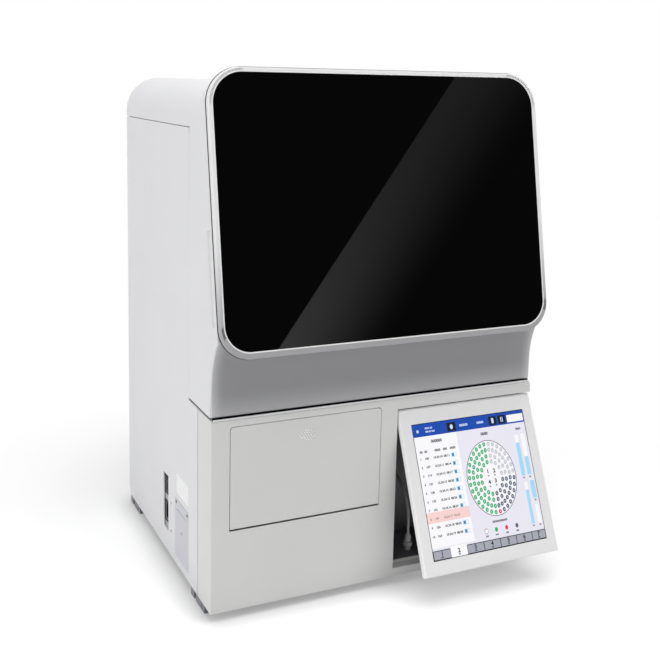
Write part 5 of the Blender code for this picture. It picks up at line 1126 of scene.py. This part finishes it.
# List with a toggle in each row but the marked one, and level bars with the place of each level
LIST_SHARES = ((EDGE_SHARE, 0.370), (0.098, 0.912))
ROW_SHARE = 0.063
LIST_ROW_SHARES = [0.263 + ROW_SHARE * row for row in range(10)]
MARKED_ROW = 7
MARKED_ROW_SHARES = (0.655, 0.733)
TOGGLE_SHARES = ((0.297, 0.344), 0.016)
KNOB_SHARES = ((0.323, 0.341), 0.013)
MARK_SHARES = ((0.301, 0.319), 0.011)
FIELD_SHARES = ((0.842, 0.991), (0.029, 0.086))
BAR_SHARES = (
    ((0.882, 0.917), (0.190, 0.507), 0.251),
    ((0.938, 0.974), (0.188, 0.507), 0.365),
    ((0.892, 0.920), (0.560, 0.873), 0.617),
    ((0.945, 0.985), (0.552, 0.686), 0.552),
    ((0.952, 0.982), (0.737, 0.874), 0.874),
)
MAP_SHARES = (0.613, 0.481)
MAP_DISC_SHARES = (0.213, 0.281)


def in_rows(u_shares, half_share, layer):
    """The same tile in every row of the list but the marked one."""
    middles = [v for row, v in enumerate(LIST_ROW_SHARES) if row != MARKED_ROW]
    return [tile(u_shares, (v - half_share, v + half_share), layer) for v in middles]


white = [tile(*LIST_SHARES, 1), tile(*FIELD_SHARES, 2), oval(*MAP_SHARES, MAP_DISC_SHARES, 2, 64)]
white += [tile(u_shares, v_shares, 1) for u_shares, v_shares, level_share in BAR_SHARES]
white += in_rows(*KNOB_SHARES, 3)
show("white", "#fbfbfe", white)
show("marked_row", "#f9d6d3", [tile(LIST_SHARES[0], MARKED_ROW_SHARES, 2)])
blue = []
for u_shares, v_shares, level_share in BAR_SHARES:
    if level_share < v_shares[1]:
        blue.append(tile(u_shares, (level_share, v_shares[1]), 2))
show("light_blue", "#a9dcf8", blue + in_rows(*TOGGLE_SHARES, 2))
show("toggle_marks", "#4e86ad", in_rows(*MARK_SHARES, 3))

# Map of the carousel's places, in four quarters of four rings, with its legend below
FREE_GREY = "#c9c9d2"
READY_GREEN = "#16b26b"
CHECK_RED = "#d8435c"
USED_BLUE = "#59627e"
QUARTERS = (("free", FREE_GREY), ("ready", READY_GREEN), ("filled", READY_GREEN), ("used", USED_BLUE))
LEGEND = (("free", "#ffffff"), ("ready", READY_GREEN), ("red", CHECK_RED), ("used", USED_BLUE))
LEGEND_U_SHARES = (0.482, 0.570, 0.662, 0.755)
LEGEND_V_SHARE = 0.862
MAP_OUTLINE_SHARES = (0.219, 0.2865)
RING_SHARES = (0.90, 0.74, 0.58, 0.43)
RING_COUNTS = (8, 8, 5, 4)
PLACE_SHARES = (0.0132, 0.0172)
PLACE_MARK_SHARES = (0.00264, 0.007224)
LEGEND_OUTLINE_SHARES = (0.0165, 0.0215)
RED_PLACE = (3, 0, 0)
outlines = [oval(*MAP_SHARES, MAP_OUTLINE_SHARES, 1, 64)]
outlines.append(oval(LEGEND_U_SHARES[0], LEGEND_V_SHARE, LEGEND_OUTLINE_SHARES, 1))
show("map_outline", "#6d7080", outlines)
marks = []
red = []
for quarter, (name, colour) in enumerate(QUARTERS):
    places = []
    for ring_index, (share, count) in enumerate(zip(RING_SHARES, RING_COUNTS)):
        for step in range(count):
            angle = math.radians(90 * quarter + 90 * (step + 0.5) / count)
            u = MAP_SHARES[0] + share * MAP_OUTLINE_SHARES[0] * math.cos(angle)
            v = MAP_SHARES[1] - share * MAP_OUTLINE_SHARES[1] * math.sin(angle)
            sort = red if (quarter, ring_index, step) == RED_PLACE else places
            sort.append(oval(u, v, PLACE_SHARES, 3))
            marks.append(oval(u, v, PLACE_MARK_SHARES, 4, 8))
    show("map_" + name, colour, places)
show("map_red", CHECK_RED, red)
show("map_marks", "#f2f4f8", marks)
for (name, colour), u in zip(LEGEND, LEGEND_U_SHARES):
    show("legend_" + name, colour, [oval(u, LEGEND_V_SHARE, PLACE_SHARES, 2)])

# Row of tabs, grey but for a white one
TAB_EDGE_SHARES = (EDGE_SHARE, 0.152, 0.293, 0.440, 0.586, 0.730, 0.873, 1 - EDGE_SHARE)
TAB_U_SHARES = list(zip(TAB_EDGE_SHARES, TAB_EDGE_SHARES[1:]))
TAB_V_SHARES = (0.934, 0.992)
TAB_ROW_SHARES = (0.928, 1 - EDGE_SHARE)
WHITE_TAB = 1
WHITE_TAB_SHARES = (0.918, 1 - EDGE_SHARE)
tabs = []
for number, (left, right) in enumerate(TAB_U_SHARES):
    if number != WHITE_TAB:
        tabs.append(tile((left + EDGE_SHARE, right - EDGE_SHARE / 2), TAB_V_SHARES, 2))
show("tab_shadow", "#2b2f3c", [tile(WHOLE_SHARES, TAB_ROW_SHARES, 1)])
show("tabs", "#a8abb6", tabs)
show("white_tab", "#fdfdff", [tile(TAB_U_SHARES[WHITE_TAB], WHITE_TAB_SHARES, 2)])

# Figures: each table gives a text, its middle, its height and its layer, or what of these differs
TITLE_SHARES = (
    ("000000", 0.189, 0.142, 0.023, 2),
    ("0000", 0.614, 0.145, 0.023, 1),
    ("0000", 0.926, 0.146, 0.017, 1),
    ("000000000000", 0.614, 0.805, 0.016, 1),
)
COLUMN_SHARES = (("00", 0.045), ("00", 0.085), ("0000", 0.185), ("000", 0.250), ("0000", 0.318))
COLUMN_V_SHARE = 0.212
COLUMN_HEIGHT_SHARE = 0.018
CELL_U_SHARES = (0.033, 0.084, 0.180, 0.256)
CELL_HEIGHT_SHARES = (0.016, 0.017, 0.017, 0.017)
MAP_FIGURE_SHARES = (("1", 0.586, 0.431), ("2", 0.643, 0.432), ("4", 0.586, 0.511), ("3", 0.642, 0.508))
MAP_FIGURE_HEIGHT_SHARES = (0.030, 0.011)
MAP_FIGURE_DROP_SHARE = 0.032
LEGEND_FIGURE_V_SHARE = 0.900
SMALL_FIGURE_SHARE = 0.012
BAR_FIGURE_DROP_SHARE = 0.016
TAB_FIGURE_V_SHARES = (0.981, 0.955)
TAB_FIGURE_HEIGHT_SHARES = (0.013, 0.030)
WHITE_TITLE_SHARES = (
    ("0000 00", 0.140, 0.040, 0.014, 2),
    ("000.00 000", 0.150, 0.066, 0.013, 2),
    ("000000", 0.445, 0.055, 0.018, 2),
    ("00000", 0.595, 0.055, 0.018, 2),
)
SQUARE_SIGN_SHARES = (
    ((0.035, 0.052), (0.046, 0.066), 2),
    ((0.699, 0.719), (0.035, 0.075), 3),
    ((0.783, 0.790), (0.036, 0.074), 3),
    ((0.797, 0.804), (0.036, 0.074), 3),
)
ROUND_SIGN_SHARES = (0.338, 0.055, (0.013, 0.019))
lines = [figures(*title) for title in TITLE_SHARES]
for text, u in COLUMN_SHARES:
    lines.append(figures(text, u, COLUMN_V_SHARE, COLUMN_HEIGHT_SHARE, 2))
for row, v in enumerate(LIST_ROW_SHARES):
    texts = (str(row + 1), str(100 + 7 * row), "10.24.%02d" % (row + 10), "08:%02d" % (3 * row + 11))
    for text, u, height in zip(texts, CELL_U_SHARES, CELL_HEIGHT_SHARES):
        lines.append(figures(text, u, v, height, 2))
for text, u, v in MAP_FIGURE_SHARES:
    lines.append(figures(text, u, v, MAP_FIGURE_HEIGHT_SHARES[0], 3))
    lines.append(figures("00", u, v + MAP_FIGURE_DROP_SHARE, MAP_FIGURE_HEIGHT_SHARES[1], 3))
for u in LEGEND_U_SHARES:
    lines.append(figures("000", u, LEGEND_FIGURE_V_SHARE, SMALL_FIGURE_SHARE, 1))
for u_shares, v_shares, level_share in BAR_SHARES:
    lines.append(figures("00", sum(u_shares) / 2, v_shares[1] + BAR_FIGURE_DROP_SHARE, SMALL_FIGURE_SHARE, 2))
for number, u_shares in enumerate(TAB_U_SHARES):
    for text, v, height in zip(("00", str(number + 1)), TAB_FIGURE_V_SHARES, TAB_FIGURE_HEIGHT_SHARES):
        lines.append(figures(text, sum(u_shares) / 2, v, height, 3))
show("figures", "#1d2029", lines)
lines = [figures(*title) for title in WHITE_TITLE_SHARES]
lines += [tile(*sign) for sign in SQUARE_SIGN_SHARES]
lines.append(oval(*ROUND_SIGN_SHARES, 3))
show("white_figures", "#d5e2fb", lines)


# Studio
# A pale floor that keeps the machine's shadow, in a white room, with a large soft light to the left, a
# stronger one above the front and a weak one to the front right.
FLOOR_SIZE = 40.0
FLOOR_LIFT = 0.33
FLOOR_FADE = (0.42, 0.95)
FLOOR_FIBRE = 0.004
FLOOR_ROUGHNESS = (0.82, 0.92)
CONTACT_REACH = 0.05
AMBIENT = 0.24
LAMP_AIM = (0, 0, 0.45)
LAMPS = (
    ("light_left", (-3.2, -0.5, 1.0), 2.2, 36.5),
    ("light_top", (0.0, -0.8, 3.1), 2.4, 50.0),
    ("light_front", (1.1, -2.5, 2.5), 2.0, 19.0),
)
CAMERA_PLACE = (-0.75284, -1.58083, 0.83786)
CAMERA_YAW = math.radians(25.34)
CAMERA_PITCH = math.radians(8.63)
CAMERA_ROLL = math.radians(-1.29)
LENS_MM = 54.98
SENSOR_MM = 36.0
SHIFT_Y = -0.1515


def seen_directly(tree):
    """1 for rays from the camera, from gloss and through glass, and 0 for those that light the object."""
    rays = add_node(tree, "LightPath").outputs
    seen = rays["Is Camera Ray"]
    for other in ("Is Glossy Ray", "Is Transmission Ray"):
        seen = add_node(tree, "Math", {0: seen, 1: rays[other]}, operation="MAXIMUM").outputs["Value"]
    return seen


bpy.ops.object.select_all(action="DESELECT")
bpy.ops.mesh.primitive_plane_add(size=FLOOR_SIZE, location=(0, 0, 0))
floor = bpy.context.active_object
floor.name = "studio_floor"
# Studio paper: matt white, with fibres drawn 4 mm coarse so that they show. It has a painted contact
# shadow within 50 mm of what stands on it, is lifted where it is seen, and is pure white further out.
paper = bpy.data.materials.new("studio_floor_paper")
paper.use_nodes = True
tree = paper.node_tree
shader = tree.nodes["Principled BSDF"]
place = add_node(tree, "TexCoord").outputs["Object"]
fibre = add_node(tree, "TexNoise", {"Vector": place, "Scale": 1 / FLOOR_FIBRE, "Detail": 2.0}).outputs["Fac"]
dull_inputs = {"Value": fibre, "To Min": FLOOR_ROUGHNESS[0], "To Max": FLOOR_ROUGHNESS[1]}
dull = add_node(tree, "MapRange", dull_inputs).outputs["Result"]
tree.links.new(dull, shader.inputs["Roughness"])
# Painted shadow: the paper's colour darkens within 50 mm of the machine, where little open sky is near.
open_sky = add_node(tree, "AmbientOcclusion", {"Distance": CONTACT_REACH}, samples=8).outputs["AO"]
painted_contact_shadow = add_node(tree, "Mix", {0: open_sky, 6: linear("#585858"), 7: linear("#fafafa")}, data_type="RGBA")
tree.links.new(painted_contact_shadow.outputs[2], shader.inputs["Base Color"])
shader.inputs["Specular IOR Level"].default_value = 0.1
seen = seen_directly(tree)
lift = add_node(tree, "Math", {0: seen, 1: FLOOR_LIFT}, operation="MULTIPLY").outputs["Value"]
glow = add_node(tree, "Emission", {"Color": linear("#ffffff"), "Strength": lift}).outputs["Emission"]
near = add_node(tree, "AddShader", {0: shader.outputs["BSDF"], 1: glow}).outputs["Shader"]
distance = add_node(tree, "VectorMath", {0: place}, operation="LENGTH").outputs["Value"]
fade_inputs = {"Value": distance, "From Min": FLOOR_FADE[0], "From Max": FLOOR_FADE[1]}
fade = add_node(tree, "MapRange", fade_inputs, interpolation_type="SMOOTHSTEP").outputs["Result"]
fade = add_node(tree, "Math", {0: fade, 1: seen}, operation="MULTIPLY").outputs["Value"]
far = add_node(tree, "Emission", {"Color": linear("#ffffff"), "Strength": 1.0}).outputs["Emission"]
sweep = add_node(tree, "MixShader", {0: fade, 1: near, 2: far}).outputs["Shader"]
tree.links.new(sweep, tree.nodes["Material Output"].inputs["Surface"])
floor.data.materials.append(paper)
floor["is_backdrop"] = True

world = bpy.data.worlds.new("white_studio")
bpy.context.scene.world = world
world.use_nodes = True
tree = world.node_tree
level = add_node(tree, "MapRange", {"Value": seen_directly(tree), "To Min": AMBIENT, "To Max": 1.0})
tree.links.new(level.outputs["Result"], tree.nodes["Background"].inputs["Strength"])
tree.nodes["Background"].inputs["Color"].default_value = linear("#ffffff")

for name, place, size, power in LAMPS:
    lamp = bpy.data.lights.new(name, "AREA")
    lamp.size = size
    lamp.energy = power
    softbox = bpy.data.objects.new(name, lamp)
    bpy.context.scene.collection.objects.link(softbox)
    softbox.location = place
    softbox.rotation_euler = (Vector(LAMP_AIM) - Vector(place)).to_track_quat("-Z", "Y").to_euler()
    softbox.visible_glossy = False

forward = Vector(
    (
        math.sin(CAMERA_YAW) * math.cos(CAMERA_PITCH),
        math.cos(CAMERA_YAW) * math.cos(CAMERA_PITCH),
        -math.sin(CAMERA_PITCH),
    )
)
level_right = Vector((math.cos(CAMERA_YAW), -math.sin(CAMERA_YAW), 0))
level_down = forward.cross(level_right)
right = level_right * math.cos(CAMERA_ROLL) + level_down * math.sin(CAMERA_ROLL)
down = level_down * math.cos(CAMERA_ROLL) - level_right * math.sin(CAMERA_ROLL)
camera_data = bpy.data.cameras.new("camera")
camera_data.sensor_width = SENSOR_MM
camera_data.lens = LENS_MM
camera_data.shift_y = SHIFT_Y
camera = bpy.data.objects.new("camera", camera_data)
bpy.context.scene.collection.objects.link(camera)
camera.matrix_world = stand(CAMERA_PLACE, right, -down, -forward)
bpy.context.scene.camera = camera
bpy.context.scene.view_settings.view_transform = "Standard"


# Black flag
# A black card with a lit wedge stands where the window mirrors it, as photographers place one to give
# black glass a clean edge of light. Only reflections show it.
PICTURE_SIZE = 660
FLAG_DISTANCE = 2.4
FLAG_CORNERS = ((60, -80), (700, -80), (60, 470), (700, 470))
WEDGE_ENDS = ((455, 77), (278, 350))
WEDGE_WIDTH = 0.35
WEDGE_LIGHT = (0.25, 0.80)
FLAG_BLACK = 0.004

focal = PICTURE_SIZE * LENS_MM / SENSOR_MM
middle_row = PICTURE_SIZE * (0.5 + SHIFT_Y)
eye = Vector(CAMERA_PLACE)
pane = window_centre - window_out * GLASS_RECESS
mirrored_eye = eye - window_out * 2 * (eye - pane).dot(window_out)


def on_window(column, row):
    """The point of the window's plane that the camera sees at a place of the picture."""
    ray = forward + right * (column - PICTURE_SIZE / 2) / focal + down * (row - middle_row) / focal
    return eye + ray * (pane - eye).dot(window_out) / ray.dot(window_out)


window_middle = on_window(PICTURE_SIZE / 2, middle_row)
facing = (window_middle - mirrored_eye).normalized()
flag_middle = window_middle + facing * FLAG_DISTANCE


def on_flag(column, row):
    """The point of the flag that the window mirrors at a place of the picture."""
    ray = on_window(column, row) - mirrored_eye
    return mirrored_eye + ray * (flag_middle - mirrored_eye).dot(facing) / ray.dot(facing)


bpy.ops.object.select_all(action="DESELECT")
bpy.ops.mesh.primitive_plane_add(size=1)
flag = bpy.context.active_object
flag.name = "black_flag"
for corner, (column, row) in zip(flag.data.vertices, FLAG_CORNERS):
    corner.co = on_flag(column, row)
wedge_top = on_flag(*WEDGE_ENDS[0])
wedge_run = on_flag(*WEDGE_ENDS[1]) - wedge_top
wedge_way = wedge_run.normalized()
across = (on_flag(WEDGE_ENDS[0][0] + 1, WEDGE_ENDS[0][1]) - wedge_top).normalized()
across = (across - wedge_way * across.dot(wedge_way)).normalized()
# Black card: matt and nearly black, lit on one side of a line and falling off over 350 mm
card = bpy.data.materials.new("black_flag_card")
card.use_nodes = True
tree = card.node_tree
shader = tree.nodes["Principled BSDF"]
place = add_node(tree, "TexCoord").outputs["Object"]
from_top = add_node(tree, "VectorMath", {0: place, 1: wedge_top}, operation="SUBTRACT").outputs["Vector"]
inward = add_node(tree, "VectorMath", {0: from_top, 1: across}, operation="DOT_PRODUCT").outputs["Value"]
along = add_node(tree, "VectorMath", {0: from_top, 1: wedge_run}, operation="DOT_PRODUCT").outputs["Value"]
share = add_node(tree, "MapRange", {"Value": along, "From Max": wedge_run.length_squared}).outputs["Result"]
share = add_node(tree, "Math", {0: share, 1: 2.0}, operation="POWER").outputs["Value"]
light_inputs = {"Value": share, "To Min": WEDGE_LIGHT[0], "To Max": WEDGE_LIGHT[1]}
light = add_node(tree, "MapRange", light_inputs).outputs["Result"]
fall_inputs = {"Value": inward, "From Max": WEDGE_WIDTH, "To Min": 1.0, "To Max": 0.0}
falling = add_node(tree, "MapRange", fall_inputs, interpolation_type="SMOOTHSTEP").outputs["Result"]
inside = add_node(tree, "Math", {0: inward, 1: 0.0}, operation="GREATER_THAN").outputs["Value"]
light = add_node(tree, "Math", {0: light, 1: falling}, operation="MULTIPLY").outputs["Value"]
light = add_node(tree, "Math", {0: light, 1: inside}, operation="MULTIPLY").outputs["Value"]
light = add_node(tree, "Math", {0: light, 1: FLAG_BLACK}, operation="ADD").outputs["Value"]
shader.inputs["Base Color"].default_value = linear("#050505")
shader.inputs["Emission Color"].default_value = linear("#ffffff")
tree.links.new(light, shader.inputs["Emission Strength"])
flag.data.materials.append(card)
flag.visible_camera = False
flag.visible_diffuse = False
flag.visible_transmission = False
flag.visible_shadow = False
flag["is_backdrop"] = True

low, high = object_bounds()
